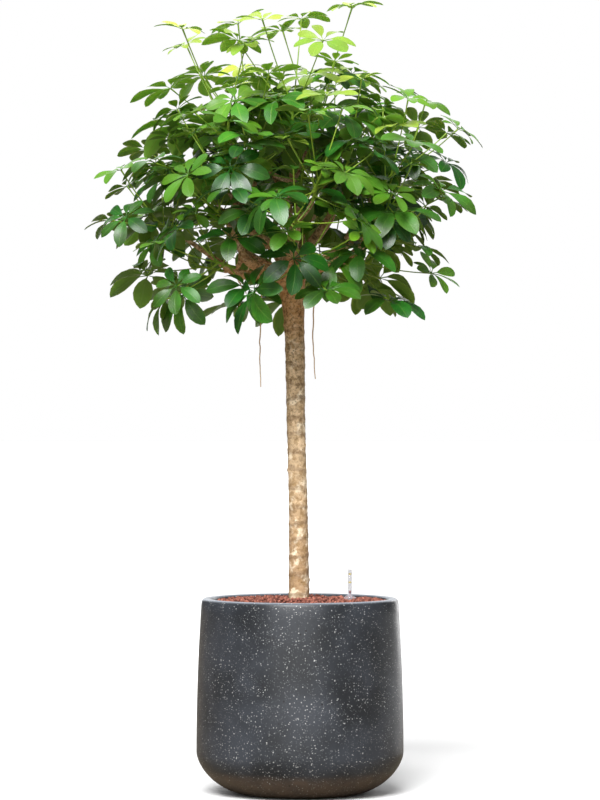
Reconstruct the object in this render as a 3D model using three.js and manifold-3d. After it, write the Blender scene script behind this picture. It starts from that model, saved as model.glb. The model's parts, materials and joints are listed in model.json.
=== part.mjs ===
// Potted umbrella tree: a standard-trained umbrella plant in a round composite planter.
// The bare stem carries a domed crown of leafy shoots. Each shoot has long leaf stalks, and each
// stalk ends in a whorl of leaflets like the ribs of an umbrella. The plant stands in a slotted
// culture pot, buried in clay granules, with a water gauge beside the stem.
// Millimetres, +Z up. The origin is the centre of the planter's flat base, and -Y is the front.
import * as THREE from "three";
import { mergeVertices } from "three/addons/utils/BufferGeometryUtils.js";
import Module from "manifold-3d";

const wasm = await Module();
wasm.setup();

// Clearances
const GAP = 0.3;
const LEAF_CLEARANCE = 1.0;

// Planter
const PLANTER = {
  height: 390,
  footRadius: 108,
  bellyRadius: 207,
  bellyHeight: 84,
  rimRadius: 196.5,
  rimWidth: 20,
  lipRound: 8,
  floor: 20,
  floorRadius: 134,
  cornerRadius: 164,
  cornerHeight: 44,
  cornerSteps: 4,
  cornerBend: 1.16,
  waist: 0.55,
  sides: 36,
};

// Culture pot, standing on the planter's floor inside the granules
const CULTURE_POT = {
  height: 300,
  topRadius: 139,
  footRadius: 118,
  wall: 2.5,
  rimWidth: 7,
  rimHeight: 6,
  sides: 20,
  slots: 4,
  slotWidth: 5,
  slotHeight: 40,
  slotDepth: 30,
  slotRise: 12,
};

// Clay granules
const GRANULES = {
  edgeHeight: 384,
  crownHeight: 391,
  relief: 4.5,
  wallGap: 1.2,
  rings: 7,
  spokes: 6,
  seed: 2524,
};

// Water gauge
const GAUGE = {
  x: 100,
  y: 14,
  topHeight: 447.5,
  collarHeight: 400,
  collarRadius: 12.8,
  collarSunk: 3,
  collarEdge: 2,
  shoulderRise: 6,
  shoulderShare: 0.72,
  tubeRadius: 4.8,
  tubeWall: 0.8,
  housingRadius: 10,
  housingWall: 1.4,
  pinRadius: 2.6,
  pinTop: 404,
  pinPoint: 0.6,
  floatRadius: 7.4,
  floatHeight: 62,
  floatTaper: 6,
  sides: 10,
  slotWidth: 4,
  slotHeight: 30,
  slotRise: 8,
  holeRoom: 0.5,
};

// Stem and branches
const STEM_ROOT_DEPTH = 150;
const STEM_SIDES = 10;
const STEM_STEPS = 13;
const STEM = [
  // x, y, z and radius up the bare stem
  [-2, 0, PLANTER.height - STEM_ROOT_DEPTH, 19],
  [-2, 0, 370, 21],
  [-2, 0, 430, 20.2],
  [-4, 0, 590, 18.6],
  [-8, 0, 740, 18.4],
  [-9.5, 0, 860, 19.6],
  [-12, 0, 950, 20.6],
  [-16, 0, 1005, 26],
  [-20, 0, 1042, 32],
  [-20, 0, 1070, 27],
];
const CROWN_CENTRE = new THREE.Vector3(-30, 0, 1130);
const LIMBS = [
  // way points of each limb from the head of the stem to the knuckle where it forks
  [[-20, 0, 1036], [-80, -18, 1034], [-128, -14, 1040], [-158, -6, 1060]],
  [[-26, 0, 1050], [-56, -26, 1092], [-96, -44, 1120], [-124, -56, 1166]],
  [[-20, 0, 1056], [-14, 8, 1110], [-24, 14, 1165], [-14, 16, 1230]],
  [[-14, 0, 1050], [36, -14, 1058], [98, -20, 1072], [134, -12, 1104]],
  [[-18, -6, 1050], [-16, -64, 1082], [-8, -100, 1110], [-6, -118, 1146]],
  [[-18, 8, 1052], [-8, 70, 1076], [2, 112, 1106], [0, 128, 1146]],
  [[-14, -6, 1040], [28, -54, 1046], [66, -92, 1060], [86, -108, 1088]],
  [[-28, 8, 1042], [-74, 52, 1050], [-108, 88, 1070], [-122, 104, 1100]],
  [[-12, 8, 1042], [38, 56, 1054], [72, 92, 1074], [90, 106, 1106]],
  [[-28, -6, 1040], [-70, -50, 1046], [-104, -86, 1062], [-120, -102, 1090]],
  [[-16, 4, 1052], [26, 18, 1104], [62, 26, 1156], [80, 26, 1214]],
];
const LIMB_RADII = [13, 7];
const LIMB_END_SWELL = 2;
const TWIG_SUNK = 9;
const LIMB_SIDES = 6;
const LIMB_STEPS = 4;
const TWIG_RADII = [5.6, 4.4];
const TWIG_SIDES = 4;
const TWIG_STEPS = 2;
const TWIG_RISE = 0.3;

// Aerial roots that hang from the limbs: start point, hanging length and sideways drift
const AERIAL_ROOTS = [
  { from: [-74, -16, 1034], length: 222, drift: -6 },
  { from: [36, -12, 1060], length: 232, drift: -10 },
  { from: [-132, -18, 1040], length: 66, drift: 18 },
  { from: [-98, -76, 1054], length: 58, drift: -14 },
  { from: [60, -84, 1050], length: 60, drift: 10 },
];
const AERIAL_ROOT_RADII = [1.7, 0.9];
const AERIAL_ROOT_SIDES = 3;
const AERIAL_ROOT_STEPS = 4;
const AERIAL_BEND = { at: 0.55, back: 0.6, depth: 2 };

// Leafy shoots, in rings round the crown from the top down
const SHOOT_RINGS = [
  { count: 4, radius: 85, height: 1353, turn: 25, x: -69, reach: 1.32, tilt: 0.32 },
  { count: 6, radius: 130, height: 1280, turn: 48, x: -20, reach: 1.23, tilt: 0.16 },
  { count: 7, radius: 214, height: 1233, turn: 17, x: 2, reach: 0.96, tilt: 0.32 },
  { count: 7, radius: 233, height: 1159, turn: 26, x: -48, reach: 0.83, tilt: 0.45 },
  { count: 6, radius: 164, height: 1077, turn: 42, x: -36, reach: 1.08, tilt: 0.41 },
];
const SHOOT_SCATTER = 22;
const SHOOT_LENGTH = 58;
const SHOOT_RADII = [3.8, 2.8];
const SHOOT_SIDES = 4;
const SHOOT_LIFT = 0.55;
const LEAVES_PER_SHOOT = 8;
const LEAVES_ALONG = [0.2, 0.95];
const SPIRAL_START = new THREE.Vector3(0.3, 1, 0.1);
const CROWN_SEED = 3875;
const REDRAW_STEP = 101;
const WARM_UP = 4;
const MOST_DRAWS = 200;
const ROD_CLEARANCE = 1.5;
const STEM_ROD_RADIUS = 27;
const LIMB_ROD_RADIUS = 16;
const AERIAL_ROD_RADIUS = 4;

// Leaves: each value runs from the oldest leaf of a shoot to its youngest
const STALK_LENGTH = [112, 146];
const STALK_LENGTH_SHARES = [0.72, 1.28];
const STALK_LEAN = [98, 20];
const STALK_LEAN_SCATTER = 14;
const STALK_LIFT = 0.24;
const FACE_SCATTER = 0.7;
const STALK_RADII = [1.9, 1.4];
const STALK_SIDES = 3;
const LEAFLET_LENGTH = [104, 60];
const LEAFLET_LENGTH_SHARES = [0.88, 1.12];
const LEAFLET_DROP = [0.28, -0.1];
const LEAFLET_DROP_SCATTER = 0.16;
const LEAFLET_RISE = 0.4;
const DROP_SHORTENS = 0.2;
const SOLID_LEAFLETS = 5;
const FEWEST_LEAFLETS = 2;
const LEAFLET_SHARES = [1, 0.82, 0.66];
const STALK_LEFT_FREE = 0.86;
const LEAFLET_WIDTH = 0.4;
const LEAFLET_SIZES = [0.84, 0.16];
const WIDEST_AT = 0.6;
const NOTCH_RADIUS = 6.5;
const NOTCH_TURN = 0.3;
const ROOM = { foot: 0.06, footWidth: 0.3, tip: 1.04, width: 1.08, stalkSides: 5 };
const LEAF_THICKNESS = 0.9;
const GOLDEN_TURN = Math.PI * (3 - Math.sqrt(5));
const UP = new THREE.Vector3(0, 0, 1);

// Colours, roughness and metalness of the materials
const FINISH = {
  composite: { color: 0x3b3d42, roughness: 0.55, metalness: 0 },
  granules: { color: 0x8c4630, roughness: 0.95, metalness: 0 },
  blackPlastic: { color: 0x17181a, roughness: 0.6, metalness: 0 },
  clearPlastic: { color: 0xd9dadf, roughness: 0.15, metalness: 0 },
  greyPlastic: { color: 0x8e9296, roughness: 0.5, metalness: 0 },
  redPlastic: { color: 0xa62a12, roughness: 0.4, metalness: 0 },
  bark: { color: 0x9a7d58, roughness: 0.9, metalness: 0 },
  matureLeaf: { color: 0x2c5a2a, roughness: 0.4, metalness: 0 },
  youngLeaf: { color: 0x6f9a2c, roughness: 0.45, metalness: 0 },
};

// Seeded draw: the same numbers in the same order on every run
function makeDraw(seed) {
  let state = seed >>> 0;
  const next = () => {
    state = (Math.imul(state, 1664525) + 1013904223) >>> 0;
    return state / 4294967296;
  };
  for (let i = 0; i < WARM_UP; i++) next();
  return next;
}

// Solids and geometries
function solidFrom(geometry) {
  const loose = geometry.index ? geometry.toNonIndexed() : geometry;
  const bare = new THREE.BufferGeometry().setAttribute("position", loose.getAttribute("position"));
  const merged = mergeVertices(bare, 1e-3);
  const mesh = new wasm.Mesh({
    numProp: 3,
    vertProperties: merged.attributes.position.array,
    triVerts: new Uint32Array(merged.index.array),
  });
  return new wasm.Manifold(mesh);
}

function geometryFrom(solid) {
  const { vertProperties, triVerts, numProp } = solid.getMesh();
  const positions = new Float32Array((vertProperties.length / numProp) * 3);
  for (let i = 0; i < positions.length / 3; i++) {
    positions.set(vertProperties.subarray(i * numProp, i * numProp + 3), i * 3);
  }
  const geometry = new THREE.BufferGeometry();
  geometry.setAttribute("position", new THREE.BufferAttribute(positions, 3));
  geometry.setIndex(new THREE.BufferAttribute(triVerts, 1));
  geometry.computeVertexNormals();
  return geometry;
}

function geometryOfFaces(points, faces) {
  const geometry = new THREE.BufferGeometry();
  const flat = points.flatMap((p) => [p.x, p.y, p.z]);
  geometry.setAttribute("position", new THREE.Float32BufferAttribute(flat, 3));
  geometry.setIndex(faces.flat());
  return geometry;
}

// A solid of revolution about Z from [radius, height] pairs that run from the axis, out along the
// underside, up the outside and back to the axis
function turned(profile, sides) {
  const points = profile.map(([radius, height]) => new THREE.Vector2(radius, height));
  return solidFrom(new THREE.LatheGeometry(points, sides).rotateX(Math.PI / 2));
}

// A tapered tube along a curve, closed at both ends
function tube(curve, radiusAt, sides, steps) {
  const frames = curve.computeFrenetFrames(steps, false);
  const points = [];
  const faces = [];
  for (let i = 0; i <= steps; i++) {
    const centre = curve.getPointAt(i / steps);
    for (let k = 0; k < sides; k++) {
      const turn = (2 * Math.PI * k) / sides;
      const radius = radiusAt(i / steps);
      points.push(
        centre
          .clone()
          .addScaledVector(frames.normals[i], radius * Math.cos(turn))
          .addScaledVector(frames.binormals[i], radius * Math.sin(turn)),
      );
    }
  }
  for (let i = 0; i < steps; i++) {
    for (let k = 0; k < sides; k++) {
      const a = i * sides + k;
      const b = i * sides + ((k + 1) % sides);
      faces.push([a, b, b + sides], [a, b + sides, a + sides]);
    }
  }
  const last = steps * sides;
  for (let k = 1; k < sides - 1; k++) {
    faces.push([0, k + 1, k], [last, last + k, last + k + 1]);
  }
  return solidFrom(geometryOfFaces(points, faces));
}

const mix = (from, to, share) => from + (to - from) * share;
const straight = (from, to) => new THREE.LineCurve3(from, to);
const vector = (numbers) => new THREE.Vector3(...numbers);
const vectorOfRow = ([x, y, z]) => new THREE.Vector3(x, y, z);

// Planter: gently swelling walls over a round lower corner, with a soft wide lip
function wallRadius(height) {
  const { bellyRadius, bellyHeight, rimRadius, height: top } = PLANTER;
  const rise = (height - bellyHeight) / (top - bellyHeight);
  return bellyRadius - (bellyRadius - rimRadius) * rise * rise;
}

function innerRadius(height) {
  return wallRadius(height) - PLANTER.rimWidth;
}

function planterSolid() {
  const { height, footRadius, bellyRadius, bellyHeight, rimWidth, lipRound, sides } = PLANTER;
  const { floor, floorRadius, cornerRadius, cornerHeight, cornerSteps, cornerBend } = PLANTER;
  const profile = [[0, 0]];
  for (let i = 0; i <= cornerSteps; i++) {
    const turn = (i / cornerSteps) * (Math.PI / 2);
    profile.push([
      footRadius + (bellyRadius - footRadius) * Math.sin(turn) ** cornerBend,
      bellyHeight * (1 - Math.cos(turn) ** cornerBend),
    ]);
  }
  const waist = mix(bellyHeight, height, PLANTER.waist);
  profile.push([wallRadius(waist), waist]);
  const rim = wallRadius(height);
  profile.push([rim, height - lipRound]);
  profile.push([rim - lipRound * 0.35, height - lipRound * 0.35]);
  profile.push([rim - lipRound, height]);
  profile.push([rim - rimWidth + lipRound, height]);
  profile.push([rim - rimWidth, height - lipRound]);
  profile.push([innerRadius(waist), waist], [innerRadius(bellyHeight), bellyHeight]);
  profile.push([cornerRadius, cornerHeight], [floorRadius, floor], [0, floor]);
  return turned(profile, sides);
}

// Culture pot: a tapering cup with a rolled rim and water slots round its foot
function culturePotSolid(grow = 0) {
  const { height, topRadius, footRadius, wall, rimWidth, rimHeight, sides } = CULTURE_POT;
  const foot = PLANTER.floor + GAP;
  const top = foot + height;
  const profile = [
    [0, foot - grow * 2],
    [footRadius + grow, foot - grow * 2],
    [topRadius + grow, top - rimHeight - grow],
    [topRadius + rimWidth + grow, top - rimHeight - grow],
    [topRadius + rimWidth + grow, top + grow],
    [topRadius - wall - grow, top + grow],
    [footRadius - wall - grow, foot + wall + grow],
    [0, foot + wall + grow],
  ];
  return turned(profile, sides);
}

function culturePotWithSlots() {
  const { footRadius, slots, slotWidth, slotHeight, slotDepth, slotRise } = CULTURE_POT;
  let pot = culturePotSolid();
  for (let i = 0; i < slots; i++) {
    const turn = ((i + 0.5) * 2 * Math.PI) / slots;
    const box = new THREE.BoxGeometry(slotDepth, slotWidth, slotHeight);
    box.translate(footRadius, 0, PLANTER.floor + slotRise + slotHeight / 2).rotateZ(turn);
    pot = pot.subtract(solidFrom(box));
  }
  return pot;
}

// Clay granules: a fill with a knobbly mounded top, and plain holes for what stands in it
function granulesTop() {
  const { edgeHeight, crownHeight, relief, rings, spokes, wallGap } = GRANULES;
  const outer = innerRadius(edgeHeight) - wallGap;
  const draw = makeDraw(GRANULES.seed);
  const points = [new THREE.Vector3(0, 0, crownHeight)];
  const faces = [];
  for (let ring = 1; ring <= rings; ring++) {
    const share = ring / rings;
    for (let i = 0; i < spokes * ring; i++) {
      const turn = (2 * Math.PI * i) / (spokes * ring);
      const bump = ring === rings ? 0 : (draw() - 0.5) * 2 * relief;
      const z = mix(crownHeight, edgeHeight, share * share) + bump;
      points.push(new THREE.Vector3(outer * share * Math.cos(turn), outer * share * Math.sin(turn), z));
    }
  }
  const first = (ring) => 1 + (spokes * ring * (ring - 1)) / 2;
  const at = (ring, i) => (ring === 0 ? 0 : first(ring) + (i % (spokes * ring)));
  for (let ring = 1; ring <= rings; ring++) {
    for (let side = 0; side < spokes; side++) {
      for (let i = 0; i < ring; i++) {
        const out = side * ring + i;
        const inn = side * (ring - 1) + i;
        faces.push([at(ring, out), at(ring, out + 1), at(ring - 1, inn)]);
        if (i < ring - 1) faces.push([at(ring - 1, inn), at(ring, out + 1), at(ring - 1, inn + 1)]);
      }
    }
  }
  return { points, faces, edge: first(rings) };
}

function granulesSolid(holes) {
  const { points, faces, edge } = granulesTop();
  const { floor, floorRadius, cornerRadius, cornerHeight, bellyHeight } = PLANTER;
  const sides = GRANULES.spokes * GRANULES.rings;
  const levels = [
    [innerRadius(bellyHeight) - GRANULES.wallGap * 2, bellyHeight],
    [cornerRadius - GRANULES.wallGap * 2, cornerHeight],
    [floorRadius - GRANULES.wallGap * 2, floor + GAP],
  ];
  let previous = edge;
  for (const [radius, z] of levels) {
    const start = points.length;
    for (let i = 0; i < sides; i++) {
      const turn = (2 * Math.PI * i) / sides;
      points.push(new THREE.Vector3(radius * Math.cos(turn), radius * Math.sin(turn), z));
    }
    for (let i = 0; i < sides; i++) {
      const next = (i + 1) % sides;
      faces.push([previous + i, start + i, start + next], [previous + i, start + next, previous + next]);
    }
    previous = start;
  }
  for (let i = 1; i < sides - 1; i++) faces.push([previous, previous + i + 1, previous + i]);
  let fill = solidFrom(geometryOfFaces(points, faces));
  for (const hole of holes) fill = fill.subtract(hole);
  return fill;
}

// Water gauge: a clear sight tube over a slotted housing, with a float that lifts a red pin
function gaugeSightTube() {
  const { topHeight, collarHeight, collarRadius, collarEdge, tubeRadius, tubeWall, sides } = GAUGE;
  const foot = GRANULES.crownHeight - GAUGE.collarSunk;
  const bore = tubeRadius - tubeWall;
  return turned(
    [
      [bore, foot],
      [collarRadius, foot],
      [collarRadius, foot + collarEdge],
      [collarRadius * GAUGE.shoulderShare, foot + GAUGE.shoulderRise],
      [tubeRadius, collarHeight],
      [tubeRadius, topHeight],
      [0, topHeight],
      [0, topHeight - tubeWall * 2],
      [bore, topHeight - tubeWall * 2],
      [bore, foot],
    ],
    sides,
  );
}

function gaugeHousing() {
  const { housingRadius, housingWall, slotWidth, slotHeight, slotRise, sides } = GAUGE;
  const foot = PLANTER.floor + CULTURE_POT.wall + 2 * GAP;
  const top = GRANULES.crownHeight - GAUGE.collarSunk - GAP;
  const housing = turned(
    [
      [0, foot],
      [housingRadius, foot],
      [housingRadius, top],
      [housingRadius - housingWall, top],
      [housingRadius - housingWall, foot + housingWall],
      [0, foot + housingWall],
    ],
    sides,
  );
  const slot = new THREE.BoxGeometry(4 * housingRadius, slotWidth, slotHeight);
  slot.translate(0, 0, foot + slotRise + slotHeight / 2);
  return housing.subtract(solidFrom(slot));
}

function gaugeFloat() {
  const { pinRadius, pinTop, pinPoint, floatRadius, floatHeight, floatTaper, housingWall, sides } = GAUGE;
  const foot = PLANTER.floor + CULTURE_POT.wall + 3 * GAP + housingWall;
  return turned(
    [
      [0, foot],
      [floatRadius, foot],
      [floatRadius, foot + floatHeight],
      [pinRadius, foot + floatHeight + floatTaper],
      [pinRadius, pinTop - pinRadius],
      [pinRadius * pinPoint, pinTop],
      [0, pinTop],
    ],
    sides,
  );
}

// Woody framework: bare stem, limbs with their knuckles, twigs to the shoots and aerial roots
function stemCurve() {
  return new THREE.CatmullRomCurve3(STEM.map(vectorOfRow));
}

function stemRadius(height) {
  const upper = STEM.findIndex((row) => row[2] > height);
  if (upper === 0) return STEM[0][3];
  if (upper < 0) return STEM[STEM.length - 1][3];
  const [low, high] = [STEM[upper - 1], STEM[upper]];
  return mix(low[3], high[3], (height - low[2]) / (high[2] - low[2]));
}

function stemSolid(grow = 0) {
  const curve = stemCurve();
  return tube(curve, (t) => stemRadius(curve.getPointAt(t).z) + grow, STEM_SIDES, STEM_STEPS);
}

function limbCurve(wayPoints) {
  return new THREE.CatmullRomCurve3(wayPoints.map(vector));
}

function knuckleOf(wayPoints) {
  return vector(wayPoints[wayPoints.length - 1]);
}

function limbSolid(wayPoints) {
  const radius = (t) => mix(...LIMB_RADII, t) + (t === 1 ? LIMB_END_SWELL : 0);
  return tube(limbCurve(wayPoints), radius, LIMB_SIDES, LIMB_STEPS);
}

function aerialPath({ from, length, drift }) {
  const { at, back, depth } = AERIAL_BEND;
  const top = vector(from);
  return [
    top,
    top.clone().add(new THREE.Vector3(drift, -depth, -length * at)),
    top.clone().add(new THREE.Vector3(drift * back, depth, -length)),
  ];
}

function aerialRoot(root) {
  const curve = new THREE.CatmullRomCurve3(aerialPath(root));
  return tube(curve, (t) => mix(...AERIAL_ROOT_RADII, t), AERIAL_ROOT_SIDES, AERIAL_ROOT_STEPS);
}

// A shoot's place: its tip near a point of its ring, and the limb whose knuckle is nearest
function placeShoot({ radius, height, x }, turn, draw) {
  const scatter = () => (draw() - 0.5) * 2 * SHOOT_SCATTER;
  const tip = new THREE.Vector3(
    x + radius * Math.cos(turn) + scatter(),
    radius * Math.sin(turn) + scatter(),
    height + scatter(),
  );
  const axis = tip.clone().sub(CROWN_CENTRE).normalize().addScaledVector(UP, SHOOT_LIFT).normalize();
  const foot = tip.clone().addScaledVector(axis, -SHOOT_LENGTH);
  let limb = LIMBS[0];
  for (const other of LIMBS) {
    if (knuckleOf(other).distanceTo(foot) < knuckleOf(limb).distanceTo(foot)) limb = other;
  }
  const knuckle = knuckleOf(limb);
  const heel = vector(limb[limb.length - 2]).sub(knuckle).setLength(TWIG_SUNK).add(knuckle);
  const end = foot.clone().addScaledVector(axis, -GAP);
  const bend = end.clone().addScaledVector(axis, -TWIG_RISE * knuckle.distanceTo(end));
  return { tip, axis, foot, heel, bend, end };
}

// Rods stand for stems and stalks while the crown is laid out: a line with a radius and an owner
function rodsOfPath(points, radius, owner) {
  return points.slice(1).map((to, i) => ({ from: points[i], to, radius, owner }));
}

// Every second leaf of a shoot is solid here, the youngest among them
const solidOnes = (leaves) => leaves.filter((_, i) => i % 2 === 1);

function rodsOfShoot({ foot, tip, leaves }, owner) {
  const rods = rodsOfPath([foot, tip], SHOOT_RADII[0], owner);
  for (const { root, hub, face } of solidOnes(leaves)) {
    rods.push(...rodsOfPath([root, hub], STALK_RADII[0], owner));
    rods.push(...rodsOfPath([hub.clone().sub(face), hub.clone().add(face)], NOTCH_RADIUS, owner));
  }
  return rods;
}

function rodsOfTwig({ heel, bend, end }) {
  const middle = heel.clone().lerp(bend, 0.5).lerp(bend.clone().lerp(end, 0.5), 0.5);
  return rodsOfPath([heel, middle, end], TWIG_RADII[0], "wood");
}

// The distance between two straight rods' centre lines
function rodDistance(a, b) {
  const u = a.to.clone().sub(a.from);
  const v = b.to.clone().sub(b.from);
  const w = a.from.clone().sub(b.from);
  const [uu, uv, vv, uw, vw] = [u.dot(u), u.dot(v), v.dot(v), u.dot(w), v.dot(w)];
  const clamp = (value) => Math.min(1, Math.max(0, value));
  const spread = uu * vv - uv * uv;
  let s = spread > 1e-9 * uu * vv ? clamp((uv * vw - vv * uw) / spread) : 0;
  const t = clamp((uv * s + vw) / vv);
  s = clamp((uv * t - uw) / uu);
  return w.addScaledVector(u, s).addScaledVector(v, -t).length();
}

function tightest(rods, others) {
  let least = Infinity;
  for (const rod of rods) {
    for (const other of others) {
      if (other.owner === rod.owner) continue;
      least = Math.min(least, rodDistance(rod, other) - rod.radius - other.radius);
    }
  }
  return least;
}

// Each shoot is drawn again until its stem, stalks and twig pass clear of everything placed before
function planShoots() {
  const rods = rodsOfPath(STEM.map(vectorOfRow), STEM_ROD_RADIUS, "wood");
  for (const limb of LIMBS) rods.push(...rodsOfPath(limb.map(vector), LIMB_ROD_RADIUS, "wood"));
  for (const root of AERIAL_ROOTS) rods.push(...rodsOfPath(aerialPath(root), AERIAL_ROD_RADIUS, "wood"));
  const shoots = [];
  SHOOT_RINGS.forEach((ring, level) => {
    for (let i = 0; i < ring.count; i++) {
      const turn = ((ring.turn + (360 * i) / ring.count) * Math.PI) / 180;
      let best;
      for (let attempt = 0; attempt < MOST_DRAWS; attempt++) {
        const draw = makeDraw(CROWN_SEED + shoots.length + attempt * REDRAW_STEP);
        const shoot = { ...placeShoot(ring, turn, draw), level, reach: ring.reach, tilt: ring.tilt };
        shoot.leaves = planLeaves(shoot, draw);
        shoot.rods = rodsOfShoot(shoot, shoots.length);
        shoot.twigRods = rodsOfTwig(shoot);
        const woodClear = tightest(shoot.rods, shoot.twigRods.slice(0, 1));
        shoot.room = Math.min(tightest(shoot.rods, rods), tightest(shoot.twigRods, rods), woodClear);
        if (!best || shoot.room > best.room) best = shoot;
        if (best.room > ROD_CLEARANCE) break;
      }
      rods.push(...best.rods, ...best.twigRods);
      shoots.push(best);
    }
  });
  return shoots;
}

function twigSolid({ heel, bend, end }) {
  const curve = new THREE.QuadraticBezierCurve3(heel, bend, end);
  return tube(curve, (t) => mix(...TWIG_RADII, t), TWIG_SIDES, TWIG_STEPS);
}

function woodSolid(shoots) {
  const parts = [stemSolid()];
  parts.push(...LIMBS.map(limbSolid), ...shoots.map(twigSolid), ...AERIAL_ROOTS.map(aerialRoot));
  return wasm.Manifold.union(parts);
}

// The leaves of a shoot, oldest first, spiralling up it by the golden turn
function planLeaves({ axis, foot, reach, tilt }, draw) {
  const sideways = new THREE.Vector3().crossVectors(axis, SPIRAL_START).normalize();
  const across = new THREE.Vector3().crossVectors(axis, sideways);
  const start = draw() * 2 * Math.PI;
  const leaves = [];
  for (let i = 0; i < LEAVES_PER_SHOOT; i++) {
    const age = (i + 0.5) / LEAVES_PER_SHOOT;
    const spin = start + i * GOLDEN_TURN;
    const lean = ((mix(...STALK_LEAN, age) + (draw() - 0.5) * STALK_LEAN_SCATTER) * Math.PI) / 180;
    const side = sideways.clone().multiplyScalar(Math.cos(spin)).addScaledVector(across, Math.sin(spin));
    const along = axis
      .clone()
      .multiplyScalar(Math.cos(lean))
      .addScaledVector(side, Math.sin(lean))
      .addScaledVector(UP, STALK_LIFT)
      .normalize();
    const root = foot.clone().addScaledVector(axis, SHOOT_LENGTH * mix(...LEAVES_ALONG, age));
    const stalk = mix(...STALK_LENGTH, age) * mix(1, reach, age * age) * mix(...STALK_LENGTH_SHARES, draw());
    const hub = root.clone().addScaledVector(along, stalk);
    const face = along
      .clone()
      .multiplyScalar(tilt)
      .addScaledVector(UP, 1 - tilt)
      .addScaledVector(side, (draw() - 0.5) * FACE_SCATTER)
      .addScaledVector(new THREE.Vector3().crossVectors(axis, side), (draw() - 0.5) * FACE_SCATTER)
      .normalize();
    const out = side.clone().addScaledVector(face, -side.dot(face)).normalize();
    leaves.push({
      root,
      hub,
      along,
      face,
      out,
      length: mix(...LEAFLET_LENGTH, age) * mix(...LEAFLET_LENGTH_SHARES, draw()),
      drop: mix(...LEAFLET_DROP, age) + (draw() - 0.5) * LEAFLET_DROP_SCATTER,
    });
  }
  return leaves;
}

// A point of a leaflet: reach runs from the hub to the tip, and side from edge to edge
function leafletPoint(leaf, turn, size, reach, side) {
  const spoke = leaf.out
    .clone()
    .multiplyScalar(Math.cos(turn))
    .addScaledVector(new THREE.Vector3().crossVectors(leaf.face, leaf.out), Math.sin(turn));
  const edge = new THREE.Vector3().crossVectors(leaf.face, spoke);
  const length = leaf.length * size;
  const sag = LEAFLET_RISE * reach - (LEAFLET_RISE + leaf.drop) * reach * reach;
  return leaf.hub
    .clone()
    .addScaledVector(spoke, length * reach * (1 - DROP_SHORTENS * leaf.drop * reach))
    .addScaledVector(edge, (side * length * LEAFLET_WIDTH) / 2)
    .addScaledVector(leaf.face, length * sag);
}

function leafletTurns(count) {
  const shift = count % 2 === 0 ? 0.5 : 0;
  return Array.from({ length: count }, (_, j) => ((j + shift) / count) * 2 * Math.PI);
}

// The leaflets that point away from the shoot are the longest of a whorl
const leafletSize = (turn) => LEAFLET_SIZES[0] + LEAFLET_SIZES[1] * Math.cos(turn);

// A leaf in one closed thin body: the whorl of leaflets with its stalk below the hub. The two faces
// of the blades hold the same triangles, and the notches between leaflets reach close to the hub.
function leafSolid(leaf) {
  const outline = [];
  const fan = [];
  const tips = [];
  leafletTurns(SOLID_LEAFLETS).forEach((turn, j) => {
    const size = leafletSize(turn) * leaf.sizes[j];
    if (size > 0) {
      tips.push(outline.length + 1);
      fan.push([outline.length, turn - NOTCH_TURN], [outline.length + 2, turn + NOTCH_TURN]);
      outline.push(leafletPoint(leaf, turn, size, WIDEST_AT, -1));
      outline.push(leafletPoint(leaf, turn, size, 1, 0));
      outline.push(leafletPoint(leaf, turn, size, WIDEST_AT, 1));
    }
    const between = turn + Math.PI / SOLID_LEAFLETS;
    fan.push([outline.length, between]);
    outline.push(leafletPoint(leaf, between, 1, NOTCH_RADIUS / leaf.length, 0));
  });
  const half = leaf.face.clone().multiplyScalar(LEAF_THICKNESS / 2);
  const count = outline.length;
  const points = [
    leaf.hub.clone().add(half),
    ...outline.map((p) => p.clone().add(half)),
    ...outline.map((p) => p.clone().sub(half)),
    ...stalkRing(leaf, leaf.hub.clone().sub(half), leaf.face, STALK_RADII[1]),
    ...stalkRing(leaf, leaf.root, leaf.along, STALK_RADII[0]),
  ];
  const top = (i) => 1 + (i % count);
  const under = (i) => 1 + count + (i % count);
  const ring = (k) => 1 + 2 * count + ((k + STALK_SIDES) % STALK_SIDES);
  const faces = [];
  for (let i = 0; i < count; i++) {
    faces.push([under(i), under(i + 1), top(i + 1)], [under(i), top(i + 1), top(i)]);
  }
  for (const i of tips) {
    faces.push([top(i - 1), top(i), top(i + 1)], [under(i - 1), under(i + 1), under(i)]);
  }
  fan.forEach(([here, turn], i) => {
    const [there, nextTurn] = fan[(i + 1) % fan.length];
    const wrap = i + 1 < fan.length ? 0 : STALK_SIDES;
    const from = stalkSide(turn);
    faces.push([0, top(here), top(there)], [ring(from), under(there), under(here)]);
    for (let k = from; k < stalkSide(nextTurn) + wrap; k++) {
      faces.push([ring(k), ring(k + 1), under(there)]);
    }
  });
  const below = (k) => ring(k) + STALK_SIDES;
  for (let k = 0; k < STALK_SIDES; k++) {
    faces.push([below(k), below(k + 1), ring(k + 1)], [below(k), ring(k + 1), ring(k)]);
  }
  faces.push([below(0), below(2), below(1)]);
  return solidFrom(geometryOfFaces(points, faces));
}

// The stalk's corners round a centre, turned square to a direction
function stalkRing({ face, out }, centre, direction, radius) {
  const across = new THREE.Vector3().crossVectors(face, out);
  across.addScaledVector(direction, -across.dot(direction)).normalize();
  const outwards = new THREE.Vector3().crossVectors(across, direction);
  return Array.from({ length: STALK_SIDES }, (_, k) => {
    const turn = (2 * Math.PI * (k + 0.5)) / STALK_SIDES;
    return centre
      .clone()
      .addScaledVector(outwards, radius * Math.cos(turn))
      .addScaledVector(across, radius * Math.sin(turn));
  });
}

// Which corner of the stalk lies nearest to a direction round the hub
function stalkSide(turn) {
  return Math.floor((turn / (2 * Math.PI)) * STALK_SIDES);
}

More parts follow.
